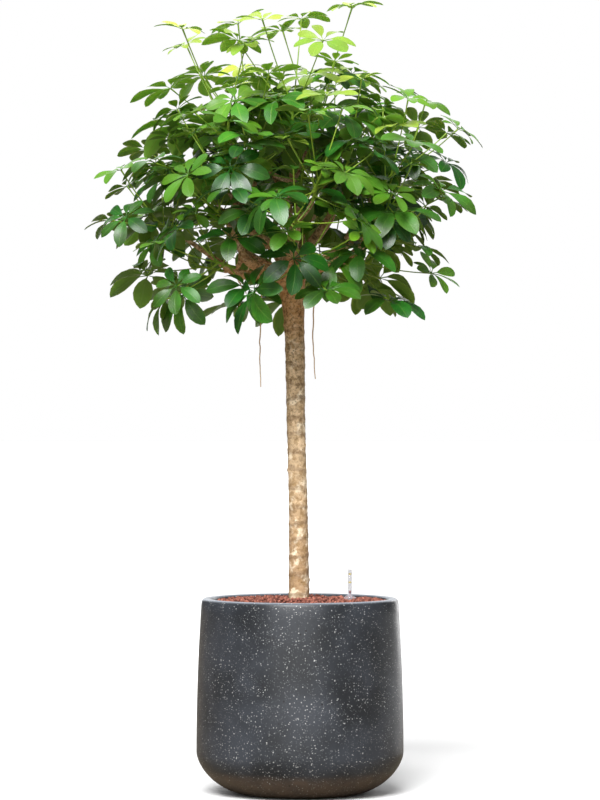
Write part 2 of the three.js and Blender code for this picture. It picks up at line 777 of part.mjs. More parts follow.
// One leaflet with room round it, to try for a clear place
function leafletRoom(leaf, turn, share) {
  const size = leafletSize(turn) * share;
  const outline = [
    leafletPoint(leaf, turn, size, ROOM.foot, -ROOM.footWidth),
    leafletPoint(leaf, turn, size, WIDEST_AT, -ROOM.width),
    leafletPoint(leaf, turn, size, ROOM.tip, 0),
    leafletPoint(leaf, turn, size, WIDEST_AT, ROOM.width),
    leafletPoint(leaf, turn, size, ROOM.foot, ROOM.footWidth),
  ];
  const half = leaf.face.clone().multiplyScalar(LEAF_THICKNESS / 2 + LEAF_CLEARANCE);
  const points = [...outline.map((p) => p.clone().add(half)), ...outline.map((p) => p.clone().sub(half))];
  const count = outline.length;
  const faces = [];
  for (const [a, b, c] of [[0, 1, 4], [1, 3, 4], [1, 2, 3]]) {
    faces.push([a, b, c], [a + count, c + count, b + count]);
  }
  for (let i = 0; i < count; i++) {
    const next = (i + 1) % count;
    faces.push([i + count, next + count, next], [i + count, next, i]);
  }
  return solidFrom(geometryOfFaces(points, faces));
}

// The stalk with room round it, up to a share of its length
function stalkRoom({ root, hub }, share) {
  const end = root.clone().lerp(hub, share);
  return tube(straight(root, end), () => STALK_RADII[0] + LEAF_CLEARANCE / 2, ROOM.stalkSides, 1);
}

function hubRoom({ hub }) {
  return solidFrom(new THREE.OctahedronGeometry(NOTCH_RADIUS + LEAF_CLEARANCE, 1).translate(...hub));
}

// What stands in the way of a new leaflet
function obstacle(solid, leaf) {
  const { min, max } = solid.boundingBox();
  return { solid, leaf, min, max };
}

function meets(solid, others, leaf) {
  const { min, max } = solid.boundingBox();
  return others.some(
    (other) =>
      other.leaf !== leaf &&
      [0, 1, 2].every((i) => other.min[i] <= max[i] && other.max[i] >= min[i]) &&
      !solid.intersect(other.solid).isEmpty(),
  );
}

// A leaflet that would cross something is made smaller, or left off
function growShoots(shoots, wood) {
  const obstacles = [obstacle(wood)];
  for (const shoot of shoots) {
    shoot.leaves = solidOnes(shoot.leaves);
    shoot.stem = tube(straight(shoot.foot, shoot.tip), (t) => mix(...SHOOT_RADII, t), SHOOT_SIDES, 1);
    obstacles.push(obstacle(shoot.stem));
    for (const leaf of shoot.leaves) {
      obstacles.push(obstacle(stalkRoom(leaf, 1), leaf), obstacle(hubRoom(leaf), leaf));
    }
  }
  for (const { leaves } of shoots) {
    for (const leaf of leaves) {
      const ownStalk = stalkRoom(leaf, STALK_LEFT_FREE);
      leaf.sizes = leafletTurns(SOLID_LEAFLETS).map((turn) => {
        for (const share of LEAFLET_SHARES) {
          const room = leafletRoom(leaf, turn, share);
          if (!room.intersect(ownStalk).isEmpty() || meets(room, obstacles, leaf)) continue;
          obstacles.push(obstacle(room, leaf));
          return share;
        }
        return 0;
      });
    }
  }
}

function shootSolid({ stem, leaves }) {
  const leafy = leaves.filter(({ sizes }) => sizes.filter((size) => size > 0).length >= FEWEST_LEAFLETS);
  return wasm.Manifold.union([stem, ...leafy.map(leafSolid)]);
}

// Assembly
const plant = new THREE.Group();

function addNode(name, solid, finish, parent = plant) {
  const mesh = new THREE.Mesh(geometryFrom(solid), new THREE.MeshStandardMaterial(FINISH[finish]));
  mesh.name = name;
  parent.add(mesh);
}

function addGauge() {
  const gauge = new THREE.Group();
  gauge.position.set(GAUGE.x, GAUGE.y, 0);
  plant.add(gauge);
  addNode("gauge_sight_tube", gaugeSightTube(), "clearPlastic", gauge);
  addNode("gauge_housing", gaugeHousing(), "greyPlastic", gauge);
  addNode("gauge_float", gaugeFloat(), "redPlastic", gauge);
}

function gaugeHole() {
  const { housingRadius, collarRadius, collarSunk, holeRoom, sides, x, y } = GAUGE;
  const collar = GRANULES.crownHeight - collarSunk - GAP;
  const clearOfTop = 2 * PLANTER.height;
  const hole = turned(
    [
      [0, 0],
      [housingRadius + holeRoom, 0],
      [housingRadius + holeRoom, collar],
      [collarRadius + holeRoom, collar],
      [collarRadius + holeRoom, clearOfTop],
      [0, clearOfTop],
    ],
    sides,
  );
  return hole.translate([x, y, 0]);
}

const shoots = planShoots();
const wood = woodSolid(shoots);
growShoots(shoots, wood);

addNode("planter", planterSolid(), "composite");
addNode("culture_pot", culturePotWithSlots(), "blackPlastic");
addNode("clay_granules", granulesSolid([culturePotSolid(GAP), stemSolid(GAP * 2), gaugeHole()]), "granules");
addGauge();
addNode("stem_and_limbs", wood, "bark");
shoots.forEach((shoot, i) => {
  const name = `leafy_shoot_${String(i + 1).padStart(2, "0")}`;
  addNode(name, shootSolid(shoot), shoot.level < 2 ? "youngLeaf" : "matureLeaf");
});

export default plant;
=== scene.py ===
# %% [markdown]
# # Potted umbrella plant: dressing a solid model
# The real object is an indoor tree: a bare woody stem, a round crown of leaf whorls, a speckled
# planter, clay granules and a water gauge. Its solids were made first, with flat faces and few
# sides. Here each of them gets its fine form and its finish. We load the solids. Blender counts in
# metres. Shapes that are easier to read in millimetres are brought down by MM.

# %% Load the solid model
import json
import math

import bmesh
import bpy
import numpy as np
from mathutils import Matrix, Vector

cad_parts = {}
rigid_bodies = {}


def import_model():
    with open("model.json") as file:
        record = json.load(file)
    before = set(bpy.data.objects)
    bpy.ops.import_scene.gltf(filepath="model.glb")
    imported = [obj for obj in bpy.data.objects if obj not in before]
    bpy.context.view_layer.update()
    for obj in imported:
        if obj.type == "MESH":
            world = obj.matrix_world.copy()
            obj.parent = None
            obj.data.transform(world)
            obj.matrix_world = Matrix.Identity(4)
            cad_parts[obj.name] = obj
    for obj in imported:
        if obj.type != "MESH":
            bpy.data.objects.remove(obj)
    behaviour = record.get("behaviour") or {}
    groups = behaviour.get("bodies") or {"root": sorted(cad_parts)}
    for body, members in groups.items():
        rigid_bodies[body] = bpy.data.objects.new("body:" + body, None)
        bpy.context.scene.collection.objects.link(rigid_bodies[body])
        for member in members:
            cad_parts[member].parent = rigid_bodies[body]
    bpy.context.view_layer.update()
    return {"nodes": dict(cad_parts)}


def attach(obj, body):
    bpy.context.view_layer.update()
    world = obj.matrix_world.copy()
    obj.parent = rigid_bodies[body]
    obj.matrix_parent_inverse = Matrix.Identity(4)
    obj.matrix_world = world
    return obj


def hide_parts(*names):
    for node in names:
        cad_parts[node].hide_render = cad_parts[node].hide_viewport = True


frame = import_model()
MM = 0.001

# %% [markdown]
# ## The camera
# The picture was taken from far away with a long lens: the planter's rim is a very thin ellipse and
# the upright lines stay upright. So the camera stands level at the height of the picture's middle,
# and its lens is worked out from the height it has to take in. A closer camera would open the rim.

# %% Camera
CAMERA_AWAY = 7.3
CAMERA_HEIGHT = 0.786
VIEW_HEIGHT = 1.6
SENSOR = 36
FARTHEST_SEEN = 200
camera_data = bpy.data.cameras.new("camera")
camera_data.sensor_width = SENSOR
camera_data.lens = SENSOR * CAMERA_AWAY / VIEW_HEIGHT
camera_data.clip_end = FARTHEST_SEEN
camera = bpy.data.objects.new("camera", camera_data)
camera.location = (0, -CAMERA_AWAY, CAMERA_HEIGHT)
camera.rotation_euler = (math.radians(90), 0, 0)
bpy.context.scene.collection.objects.link(camera)
bpy.context.scene.camera = camera
bpy.context.scene.view_settings.view_transform = "Standard"
print("lens", round(camera_data.lens, 1), "mm")

# %% [markdown]
# ## Helpers for node trees
# Materials and Geometry Nodes are both trees of nodes. Writing one by hand takes many lines, so a
# few helpers make a node, set or join its inputs, and give back its outputs. An output knows its
# tree, so sums and blends of outputs find by themselves where their node belongs.


# %% Make and join nodes
def wire(value, socket):
    """Joins an output to a socket, or sets the socket to a number, a colour or a thing."""
    if isinstance(value, bpy.types.NodeSocket):
        socket.id_data.links.new(value, socket)
    else:
        socket.default_value = value


def add(tree, kind, inputs=None, **settings):
    """Makes a node with its settings and inputs, named or numbered; gives its outputs."""
    made = tree.nodes.new(kind)
    for name, value in settings.items():
        setattr(made, name, value)
    for key, value in (inputs or {}).items():
        wire(value, made.inputs[key])
    return made.outputs


def tree_of(values):
    return next(v.id_data for v in values if isinstance(v, bpy.types.NodeSocket))


def calc(operation, *values, clamp=False):
    inputs = dict(enumerate(values))
    return add(tree_of(values), "ShaderNodeMath", inputs, operation=operation, use_clamp=clamp)[0]


def times(first, *others):
    for other in others:
        first = calc("MULTIPLY", first, other)
    return first


def plus(first, *others):
    for other in others:
        first = calc("ADD", first, other)
    return first


def minus(first, other):
    return calc("SUBTRACT", first, other)


def vector_calc(operation, *values, **named):
    inputs = {**dict(enumerate(values)), **named}
    return add(tree_of(values), "ShaderNodeVectorMath", inputs, operation=operation)["Vector"]


# %% Shape values and colours
def remap(value, low, high, to_low=0.0, to_high=1.0, smooth=True):
    """Turns low..high into to_low..to_high, held at both ends."""
    inputs = dict(enumerate((value, low, high, to_low, to_high)))
    kind = "SMOOTHSTEP" if smooth else "LINEAR"
    return add(value.id_data, "ShaderNodeMapRange", inputs, interpolation_type=kind)[0]


def blend(share, colour_a, colour_b, how="MIX"):
    inputs = {0: share, 6: colour_a, 7: colour_b}
    tree = tree_of((share, colour_a, colour_b))
    return add(tree, "ShaderNodeMix", inputs, data_type="RGBA", blend_type=how)[2]


def layered(skin, *layers):
    """Colours laid over one another; each layer is its mask, its strength and its colour."""
    for mask, strength, tone in layers:
        skin = blend(times(mask, strength), skin, tone)
    return skin


def colour(red, green, blue):
    """A colour picked as it looks on a screen, 0 to 255, turned into light."""
    return tuple((c / 255 / 12.92) if c <= 10 else ((c / 255 + 0.055) / 1.055) ** 2.4
                 for c in (red, green, blue)) + (1.0,)


def axis(place_of, letter):
    return add(place_of.id_data, "ShaderNodeSeparateXYZ", {0: place_of})[letter]


def noise(place_of, scale, detail, roughness=0.5):
    inputs = {"Vector": place_of, "Scale": scale, "Detail": detail, "Roughness": roughness}
    return add(place_of.id_data, "ShaderNodeTexNoise", inputs)["Fac"]


def object_place(tree):
    return add(tree, "ShaderNodeTexCoord")["Object"]


# %% [markdown]
# ## Helpers for finished pieces
# A finished piece is one mesh at the origin, with its place in its points. It rides on a body of
# the solid model, takes its finish, and hides the solid it stands for. One helper for the steps that
# every piece goes through is safer than writing them again for each.


# %% Helpers for finished pieces
def new_object(name, mesh):
    made = bpy.data.objects.new(name, mesh)
    bpy.context.scene.collection.objects.link(made)
    return made


def apply_modifiers(thing, name):
    """The evaluated object as a plain mesh object; the one with the modifiers goes."""
    graph = bpy.context.evaluated_depsgraph_get()
    mesh = bpy.data.meshes.new_from_object(thing.evaluated_get(graph), depsgraph=graph)
    bpy.data.objects.remove(thing)
    mesh.name = name
    return new_object(name, mesh)


def finish_piece(piece, body, node, material=None):
    if material:
        piece.data.materials.append(material)
    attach(piece, body)
    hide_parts(node)


def smooth_shade(piece):
    piece.data.polygons.foreach_set("use_smooth", [True] * len(piece.data.polygons))
    piece.data.update()


def triangle_count(piece):
    return sum(len(p.vertices) - 2 for p in piece.data.polygons)


# %% Helpers for meshes
def mix(start, end, share):
    return start + (end - start) * share


def mesh_of(name, points, faces=(), edges=()):
    mesh = bpy.data.meshes.new(name)
    mesh.from_pydata([tuple(p) for p in points], edges, faces)
    mesh.update()
    return mesh


def mark(mesh, title, values, kind="FLOAT", domain="POINT"):
    """Writes one number, yes or no, or direction for each point, edge or face."""
    data = mesh.attributes.new(title, kind, domain).data
    data.foreach_set("vector" if kind == "FLOAT_VECTOR" else "value", values)


def turned(name, profile, sides, centre=(0, 0)):
    """A closed solid of revolution from (radius, height) pairs in millimetres. They run from the
    axis, out along the underside, up the outside and back to the axis or to the first pair."""
    points, rings = [], []
    for radius, height in profile:
        if rings and (radius, height) == profile[0]:
            rings.append(rings[0])
            continue
        corners = sides if radius > 0 else 1
        rings.append([len(points) + k % corners for k in range(sides)])
        for turn in [2 * math.pi * k / sides for k in range(corners)]:
            points.append((centre[0] + radius * math.cos(turn), centre[1] + radius * math.sin(turn), height))
    faces = []
    for low, high in zip(rings, rings[1:]):
        for k in range(sides):
            n = (k + 1) % sides
            face = list(dict.fromkeys([low[k], low[n], high[n], high[k]]))
            if len(face) > 2:
                faces.append(face)
    made = new_object(name, mesh_of(name, np.array(points) * MM, faces))
    smooth_shade(made)
    return made


# %% [markdown]
# ## Effects that several materials share
# Real surfaces are never one flat colour. Three effects come back on most of this object's
# finishes: a cloudy change of tone, scattered specks, and fine grain that catches the light. Each
# is a shader node group with named inputs, made once and placed in each material with its own
# values. The groups read Object coordinates, so a pattern stays on its piece.

# %% Helpers for shader groups
WHITE = (1.0, 1.0, 1.0, 1.0)


def effect_group(name, inputs, outputs):
    """An empty shader group; gives its tree, its inputs and the sockets of its output node."""
    tree = bpy.data.node_groups.new(name, "ShaderNodeTree")
    for title, value in inputs.items():
        kind = "NodeSocketColor" if value is WHITE else "NodeSocketFloat"
        tree.interface.new_socket(title, in_out="INPUT", socket_type=kind).default_value = value
    for title in outputs:
        kind = "NodeSocketColor" if title == "Color" else "NodeSocketFloat"
        tree.interface.new_socket(title, in_out="OUTPUT", socket_type=kind)
    return tree, tree.nodes.new("NodeGroupInput").outputs, tree.nodes.new("NodeGroupOutput").inputs


def place(tree, group, **values):
    """Places a group in a material with its own values; gives the group's outputs."""
    inputs = {title.replace("_", " "): value for title, value in values.items()}
    return add(tree, "ShaderNodeGroup", inputs, node_tree=group)


# %% Cloudy tone, specks and grain
CLOUDY_TONE, take, give = effect_group(
    "cloudy_tone", {"Dark": WHITE, "Light": WHITE, "Scale": 20.0, "Spread": 0.2}, ["Color"])
cloud = noise(object_place(CLOUDY_TONE), take["Scale"], 5.0)
mask = remap(cloud, minus(0.5, take["Spread"]), plus(0.5, take["Spread"]))
wire(blend(mask, take["Dark"], take["Light"]), give["Color"])

SPECKS, take, give = effect_group(
    "scattered_specks", {"Scale": 200.0, "Size": 0.2, "Share": 0.5, "Clumps": 8.0}, ["Mask"])
where = object_place(SPECKS)
cells = add(SPECKS, "ShaderNodeTexVoronoi", {"Vector": where, "Scale": take["Scale"]})
chance = add(SPECKS, "ShaderNodeSeparateColor", {0: cells["Color"]})
wanted = times(take["Share"], remap(noise(where, take["Clumps"], 2.0), 0.3, 0.7, 0.7, 1.25))
reach = times(take["Size"], remap(chance[1], 0.0, 1.0, 0.35, 1.0, smooth=False))
inside = remap(cells["Distance"], times(reach, 0.6), reach, 1.0, 0.0)
wire(times(calc("LESS_THAN", chance[0], wanted), inside), give["Mask"])

FINE_GRAIN, take, give = effect_group(
    "fine_grain", {"Scale": 500.0, "Coarse": 60.0, "Coarse share": 0.5}, ["Height"])
where = object_place(FINE_GRAIN)
fine, coarse = noise(where, take["Scale"], 3.0), noise(where, take["Coarse"], 4.0)
wire(calc("MULTIPLY_ADD", coarse, take["Coarse share"], fine), give["Height"])
print("shared effects:", ", ".join(g.name for g in (CLOUDY_TONE, SPECKS, FINE_GRAIN)))


# %% [markdown]
# ## A start for each material
# Every finish here ends in one Principled shader. Values that are the same all over the surface are
# set on the shader itself, because an export keeps them only there. What changes over the surface,
# such as colour, roughness and bump, is joined in from nodes.


# %% A start for each material
def new_material(name, **constants):
    """An empty material, its tree, and its shader's inputs with the constant ones set."""
    made = bpy.data.materials.new(name)
    made.use_nodes = True
    shader = made.node_tree.nodes["Principled BSDF"].inputs
    for title, value in constants.items():
        shader[title.replace("_", " ")].default_value = value
    return made, made.node_tree, shader


def roughen(shader, grain, heights, roughness):
    """Fine grain in the gloss: its heights become roughnesses. Gives the height, for a bump."""
    height = place(shader[0].id_data, FINE_GRAIN, Scale=grain[0], Coarse=grain[1], Coarse_share=grain[2])[0]
    wire(remap(height, *heights, *roughness), shader["Roughness"])
    return height


def bump(shader, height, strength, distance):
    inputs = {"Height": height, "Strength": strength, "Distance": distance}
    wire(add(height.id_data, "ShaderNodeBump", inputs)["Normal"], shader["Normal"])


# %% [markdown]
# ## The planter
# The real planter is cast from a dark composite and then polished: gently swelling walls, a soft
# wide lip and a round lower corner. A solid of revolution could be modelled with the Spin tool or a
# Screw modifier. A profile worked out from the same formula as the solid keeps its form exactly, so
# the profile is written as short loops and turned in one go.

# %% Planter shape
PLANTER_HEIGHT = 390
FOOT_RADIUS = 108
BELLY_RADIUS, BELLY_HEIGHT = 207, 84
CORNER_BEND = 1.16
RIM_RADIUS, RIM_WIDTH, LIP_ROUND = 196.5, 20, 8
INSIDE_CORNER = [(164, 44), (150, 28), (134, 20), (0, 20)]
UNDER_LIP, INNER_WALL_DROP = 2, 20
PLANTER_SIDES, CORNER_POINTS, WALL_POINTS, INNER_WALL_POINTS = 160, 25, 17, 9
outer_lip = RIM_RADIUS - LIP_ROUND
inner_lip = RIM_RADIUS - RIM_WIDTH + LIP_ROUND
lip_foot = PLANTER_HEIGHT - LIP_ROUND


def wall_radius(height):
    rise = (height - BELLY_HEIGHT) / (PLANTER_HEIGHT - BELLY_HEIGHT)
    return BELLY_RADIUS - (BELLY_RADIUS - RIM_RADIUS) * rise * rise


def quarter_round(centre_radius, centre_height, size, start, steps=6):
    """Points of a quarter circle, counted in degrees from straight out."""
    turns = [math.radians(start + 90 * i / steps) for i in range(steps + 1)]
    return [(centre_radius + size * math.cos(t), centre_height + size * math.sin(t)) for t in turns]


profile = [(0, 0)]
for turn in np.linspace(0, math.pi / 2, CORNER_POINTS):
    out, up = math.sin(turn) ** CORNER_BEND, 1 - max(0.0, math.cos(turn)) ** CORNER_BEND
    profile.append((mix(FOOT_RADIUS, BELLY_RADIUS, out), BELLY_HEIGHT * up))
heights = np.linspace(BELLY_HEIGHT, lip_foot - UNDER_LIP, WALL_POINTS)
profile += [(wall_radius(z), z) for z in heights[1:]]
profile += quarter_round(outer_lip, lip_foot, LIP_ROUND, 0)
profile += quarter_round(inner_lip, lip_foot, LIP_ROUND, 90)
heights = np.linspace(PLANTER_HEIGHT - INNER_WALL_DROP, BELLY_HEIGHT, INNER_WALL_POINTS)
profile += [(wall_radius(z) - RIM_WIDTH, z) for z in heights]
planter = turned("planter_body", profile + INSIDE_CORNER, PLANTER_SIDES)
print("planter:", triangle_count(planter), "triangles")

# %% [markdown]
# ## The composite
# Up close the composite is charcoal, cloudy from the polishing, with thousands of fine white and
# grey specks and a few dark pits. The top of the lip is painted paler, a painted highlight where it
# catches the light from above, and the round corner carries a warm brown painted reflection of the
# floor. Specks could be modelled as chips, but they lie flush, so they belong in the colour. Two
# sizes of specks keep the pattern from looking regular, and a faint bump at the pits breaks up the
# gloss.

# %% Composite material
# Heights and strength of a painted reflection: the warm floor painted into the round corner, patchy.
FLOOR_REFLECTION_TOP, FLOOR_REFLECTION_FOOT, FLOOR_REFLECTION_AMOUNT = 0.057, 0.036, 0.95
# From LIP_SIDE up to LIP_TOP the lip is painted paler: a painted highlight where it catches the light from
# above.
LIP_SIDE, LIP_TOP = 0.386, 0.3895
composite, tree, shader = new_material("speckled_composite", Specular_IOR_Level=0.35, Coat_Weight=0.18,
                                       Coat_Roughness=0.22)
where = object_place(tree)
up = axis(where, "Z")
charcoal = place(tree, CLOUDY_TONE, Dark=colour(34, 37, 41), Light=colour(56, 60, 67), Scale=9.0,
                 Spread=0.2)[0]
patchy = remap(noise(where, 35.0, 3.0), 0.25, 0.75, 0.6, 1.2)
# Painted reflection of the warm floor on the round corner, fading out upwards and patchy.
painted_floor_reflection = calc("MULTIPLY", times(remap(up, FLOOR_REFLECTION_TOP, FLOOR_REFLECTION_FOOT), FLOOR_REFLECTION_AMOUNT), patchy, clamp=True)
small = place(tree, SPECKS, Scale=360.0, Size=0.25, Share=0.78, Clumps=22.0)[0]
large = place(tree, SPECKS, Scale=230.0, Size=0.25, Share=0.66, Clumps=16.0)[0]
pits = place(tree, SPECKS, Scale=95.0, Size=0.22, Share=0.12, Clumps=5.0)[0]
speckled = layered(
    charcoal,
    # painted reflection of the floor, warm brown
    (painted_floor_reflection, 1.0, colour(92, 80, 72)),
    # painted highlight on top of the lip
    (remap(up, LIP_SIDE, LIP_TOP), 0.6, colour(146, 154, 166)),
    (small, 0.75, colour(180, 182, 184)),
    (large, 0.95, colour(236, 237, 236)),
    (pits, 1.0, colour(20, 21, 23)),
)
wire(speckled, shader["Base Color"])
grit = roughen(shader, (420.0, 40.0, 0.8), (0.5, 1.3), (0.3, 0.48))
bump(shader, minus(times(grit, 0.25), pits), 0.25, 0.0006)
finish_piece(planter, "plant", "planter", composite)
print("specks in", composite.name)

# %% [markdown]
# ## The hidden plastics
# Inside the planter stand a slotted culture pot and the lower tube of the water gauge. Both are
# right as solids, so they stay, and only get a finish: moulded plastic, slightly uneven in tone
# and with a fine moulded grain. Loose granules have rubbed pale marks into it.


# %% Hidden plastics
def moulded_plastic(name, dark, light, roughness):
    made, tree, shader = new_material(name, IOR=1.49)
    tone = place(tree, CLOUDY_TONE, Dark=dark, Light=light, Scale=14.0, Spread=0.25)[0]
    rubbed = place(tree, SPECKS, Scale=60.0, Size=0.4, Share=0.3, Clumps=6.0)[0]
    wire(layered(tone, (rubbed, 0.25, colour(120, 104, 96))), shader["Base Color"])
    texture = roughen(shader, (900.0, 80.0, 0.5), (0.4, 1.1), (roughness, roughness + 0.15))
    bump(shader, texture, 0.15, 0.0003)
    return made


for name, finish in {
    "culture_pot": moulded_plastic("black_pot_plastic", colour(22, 23, 25), colour(38, 39, 41), 0.45),
    "gauge_housing": moulded_plastic("grey_gauge_plastic", colour(128, 132, 136), colour(150, 153, 156), 0.4),
}.items():
    solid = frame["nodes"][name]
    solid.data.materials.clear()
    solid.data.materials.append(finish)
    print(name, "keeps its solid,", triangle_count(solid), "triangles")

# %% [markdown]
# ## The clay granules
# The planter is filled with baked clay granules, reddish brown and 4 to 8 millimetres across.
# Thousands of pebbles placed by hand is no option, and a bumpy disc would look like a carpet. So
# Geometry Nodes scatter copies of a few pebbles over the mounded top with no two closer than a
# set distance, turn and scale each by a seeded draw, and give each its own tone.

# %% A few pebbles to copy
PEBBLE_COUNT, FIRST_PEBBLE_SEED = 6, 40
PEBBLE_WIDTH, PEBBLE_HEIGHT, PEBBLE_DENTS = (0.78, 0.95), (0.62, 0.85), (0.84, 1.08)


def pebble(name, seed):
    """A lump of two dozen faces: a cube, cut once each way, pulled round and dented."""
    rng = np.random.default_rng(seed)
    shape = bmesh.new()
    bmesh.ops.create_cube(shape, size=2)
    bmesh.ops.subdivide_edges(shape, edges=shape.edges, cuts=1, use_grid_fill=True)
    stretch = Vector((1.0, rng.uniform(*PEBBLE_WIDTH), rng.uniform(*PEBBLE_HEIGHT)))
    for corner in shape.verts:
        corner.co = corner.co.normalized() * rng.uniform(*PEBBLE_DENTS) * stretch
    mesh = bpy.data.meshes.new(name)
    shape.to_mesh(mesh)
    shape.free()
    made = bpy.data.objects.new(name, mesh)
    smooth_shade(made)
    return made


PEBBLE_KINDS = bpy.data.collections.new("pebble_kinds")
for number in range(PEBBLE_COUNT):
    PEBBLE_KINDS.objects.link(pebble(f"pebble_{number}", FIRST_PEBBLE_SEED + number))
pebble_triangles = triangle_count(PEBBLE_KINDS.objects[0])
print(PEBBLE_COUNT, "pebbles of", pebble_triangles, "triangles")


# %% Helpers for Geometry Nodes
def geometry_tree(name, **inputs):
    """An empty tree with a Geometry input and output and named inputs."""
    tree = bpy.data.node_groups.new(name, "GeometryNodeTree")
    for title, kind in {"Geometry": "Geometry", **inputs}.items():
        socket_kind = f"NodeSocket{kind}"
        tree.interface.new_socket(title.replace("_", " "), in_out="INPUT", socket_type=socket_kind)
    tree.interface.new_socket("Geometry", in_out="OUTPUT", socket_type="NodeSocketGeometry")
    return tree, tree.nodes.new("NodeGroupInput").outputs, tree.nodes.new("NodeGroupOutput").inputs[0]


def grow(thing, tree, **values):
    """Adds the tree to an object and sets its inputs by their identifiers."""
    made = thing.modifiers.new(tree.name, "NODES")
    made.node_group = tree
    by_name = {item.name: item.identifier for item in tree.interface.items_tree
               if item.item_type == "SOCKET" and item.in_out == "INPUT"}
    for title, value in values.items():
        made[by_name[title.replace("_", " ")]] = value
    return thing


def attribute(tree, name, kind="FLOAT"):
    return add(tree, "GeometryNodeInputNamedAttribute", {"Name": name}, data_type=kind)["Attribute"]


def random_value(tree, low, high, seed):
    inputs = {2: low, 3: high, "Seed": seed}
    return add(tree, "FunctionNodeRandomValue", inputs, data_type="FLOAT")[1]


def move_points(geometry, offset):
    inputs = {"Geometry": geometry, "Offset": offset}
    return add(geometry.id_data, "GeometryNodeSetPosition", inputs)[0]


def finished_geometry(geometry, material, give):
    """The end of each tree: real faces, smooth, with their material."""
    tree = geometry.id_data
    real = add(tree, "GeometryNodeRealizeInstances", {"Geometry": geometry})[0]
    smooth = add(tree, "GeometryNodeSetShadeSmooth", {"Geometry": real})[0]
    wire(add(tree, "GeometryNodeSetMaterial", {"Geometry": smooth, "Material": material})[0], give)
    print(tree.name, "has", len(tree.nodes), "nodes")


# %% Granule scatter
MOST_PER_SQUARE_METRE = 60000.0
TURN_SEED, LIFT_SEED, TONE_SEED = 3, 8, 5
SCATTER, take, give = geometry_tree(
    "granule_scatter", Pebbles="Collection", Least_distance="Float", Smallest="Float", Largest="Float",
    Lift="Float", Seed="Int", Material="Material")
dots = add(SCATTER, "GeometryNodeDistributePointsOnFaces",
           {"Mesh": take["Geometry"], "Distance Min": take["Least distance"],
            "Density Max": MOST_PER_SQUARE_METRE, "Seed": take["Seed"]},
           distribute_method="POISSON")["Points"]
size = random_value(SCATTER, take["Smallest"], take["Largest"], take["Seed"])
turns = add(SCATTER, "FunctionNodeRandomValue", {1: (math.tau, math.tau, math.tau), "Seed": TURN_SEED},
            data_type="FLOAT_VECTOR")[0]
lift = add(SCATTER, "ShaderNodeCombineXYZ", {"Z": random_value(SCATTER, 0.0, take["Lift"], LIFT_SEED)})[0]
tone = random_value(SCATTER, 0.0, 1.0, TONE_SEED)
marked = add(SCATTER, "GeometryNodeStoreNamedAttribute",
             {"Geometry": move_points(dots, lift), "Name": "tone", "Value": tone},
             data_type="FLOAT", domain="POINT")[0]
kinds = add(SCATTER, "GeometryNodeCollectionInfo",
            {"Collection": take["Pebbles"], "Separate Children": True, "Reset Children": True})[0]
copies = add(SCATTER, "GeometryNodeInstanceOnPoints",
             {"Points": marked, "Instance": kinds, "Pick Instance": True, "Rotation": turns,
              "Scale": size})[0]
finished_geometry(copies, take["Material"], give)

# %% [markdown]
# ## Baked clay
# Baked clay is matt and open-pored. Each pebble takes its tone from its own draw, between dusty
# orange and burnt brown, and a fine grain gives it pores. Under the loose pebbles lies the solid
# fill, lowered a little, so that no gap between them shows the floor of the planter.

# %% Baked clay material
clay, tree, shader = new_material("baked_clay", IOR=1.45)
own_tone = add(tree, "ShaderNodeAttribute", attribute_name="tone")["Fac"]
pebble_colour = blend(own_tone, colour(112, 62, 50), colour(194, 128, 110))
burnt = place(tree, CLOUDY_TONE, Dark=colour(86, 46, 38), Light=colour(255, 244, 236), Scale=160.0,
              Spread=0.3)[0]
wire(blend(0.75, pebble_colour, burnt, "MULTIPLY"), shader["Base Color"])
bump(shader, roughen(shader, (1800.0, 400.0, 0.8), (0.4, 1.3), (0.8, 1.0)), 0.6, 0.0006)
print("finish of the granules:", clay.name)

# %% The lowered fill and its loose pebbles
FILL_DROP = 0.0055
FILL_TOP_FROM = 0.37
BED_FROM, BED_SLOPE = 0.365, 0.6
SAME_POINT = 1e-6
solid_fill = bmesh.new()
solid_fill.from_mesh(frame["nodes"]["clay_granules"].data)
bmesh.ops.remove_doubles(solid_fill, verts=solid_fill.verts, dist=SAME_POINT)
for corner in solid_fill.verts:
    if corner.co.z > FILL_TOP_FROM:
        corner.co.z -= FILL_DROP
bed, corner_of = bmesh.new(), {}
for face in solid_fill.faces:
    if face.normal.z <= BED_SLOPE or min(corner.co.z for corner in face.verts) <= BED_FROM:
        continue
    for corner in face.verts:
        if corner not in corner_of:
            corner_of[corner] = bed.verts.new(corner.co)
    bed.faces.new([corner_of[corner] for corner in face.verts])
bed_mesh, fill_mesh = bpy.data.meshes.new("granule_bed"), bpy.data.meshes.new("granule_fill")
for shape, mesh in ((bed, bed_mesh), (solid_fill, fill_mesh)):
    shape.to_mesh(mesh)
    shape.free()
fill = new_object("granule_fill", fill_mesh)
loose = grow(new_object("granule_bed", bed_mesh), SCATTER, Pebbles=PEBBLE_KINDS, Least_distance=0.0047,
             Smallest=0.0023, Largest=0.0040, Lift=0.0045, Seed=12, Material=clay)
loose = apply_modifiers(loose, "clay_granules_loose")
finish_piece(loose, "plant", "clay_granules")
finish_piece(fill, "plant", "clay_granules", clay)
loose_triangles = triangle_count(loose)
print("granules:", loose_triangles // pebble_triangles, "pebbles,", loose_triangles, "triangles")

# %% [markdown]
# ## The water gauge
# A clear plastic tube stands on a bell-shaped collar. A red pin rises in it when the pot is
# watered, past two yellow marks. Nearly all of it is turned work. The tube is modelled with its
# bore, as it shows both walls, and the marks are short bars that lie on its front. The float
# and its pin are one piece, which moves with its own body.

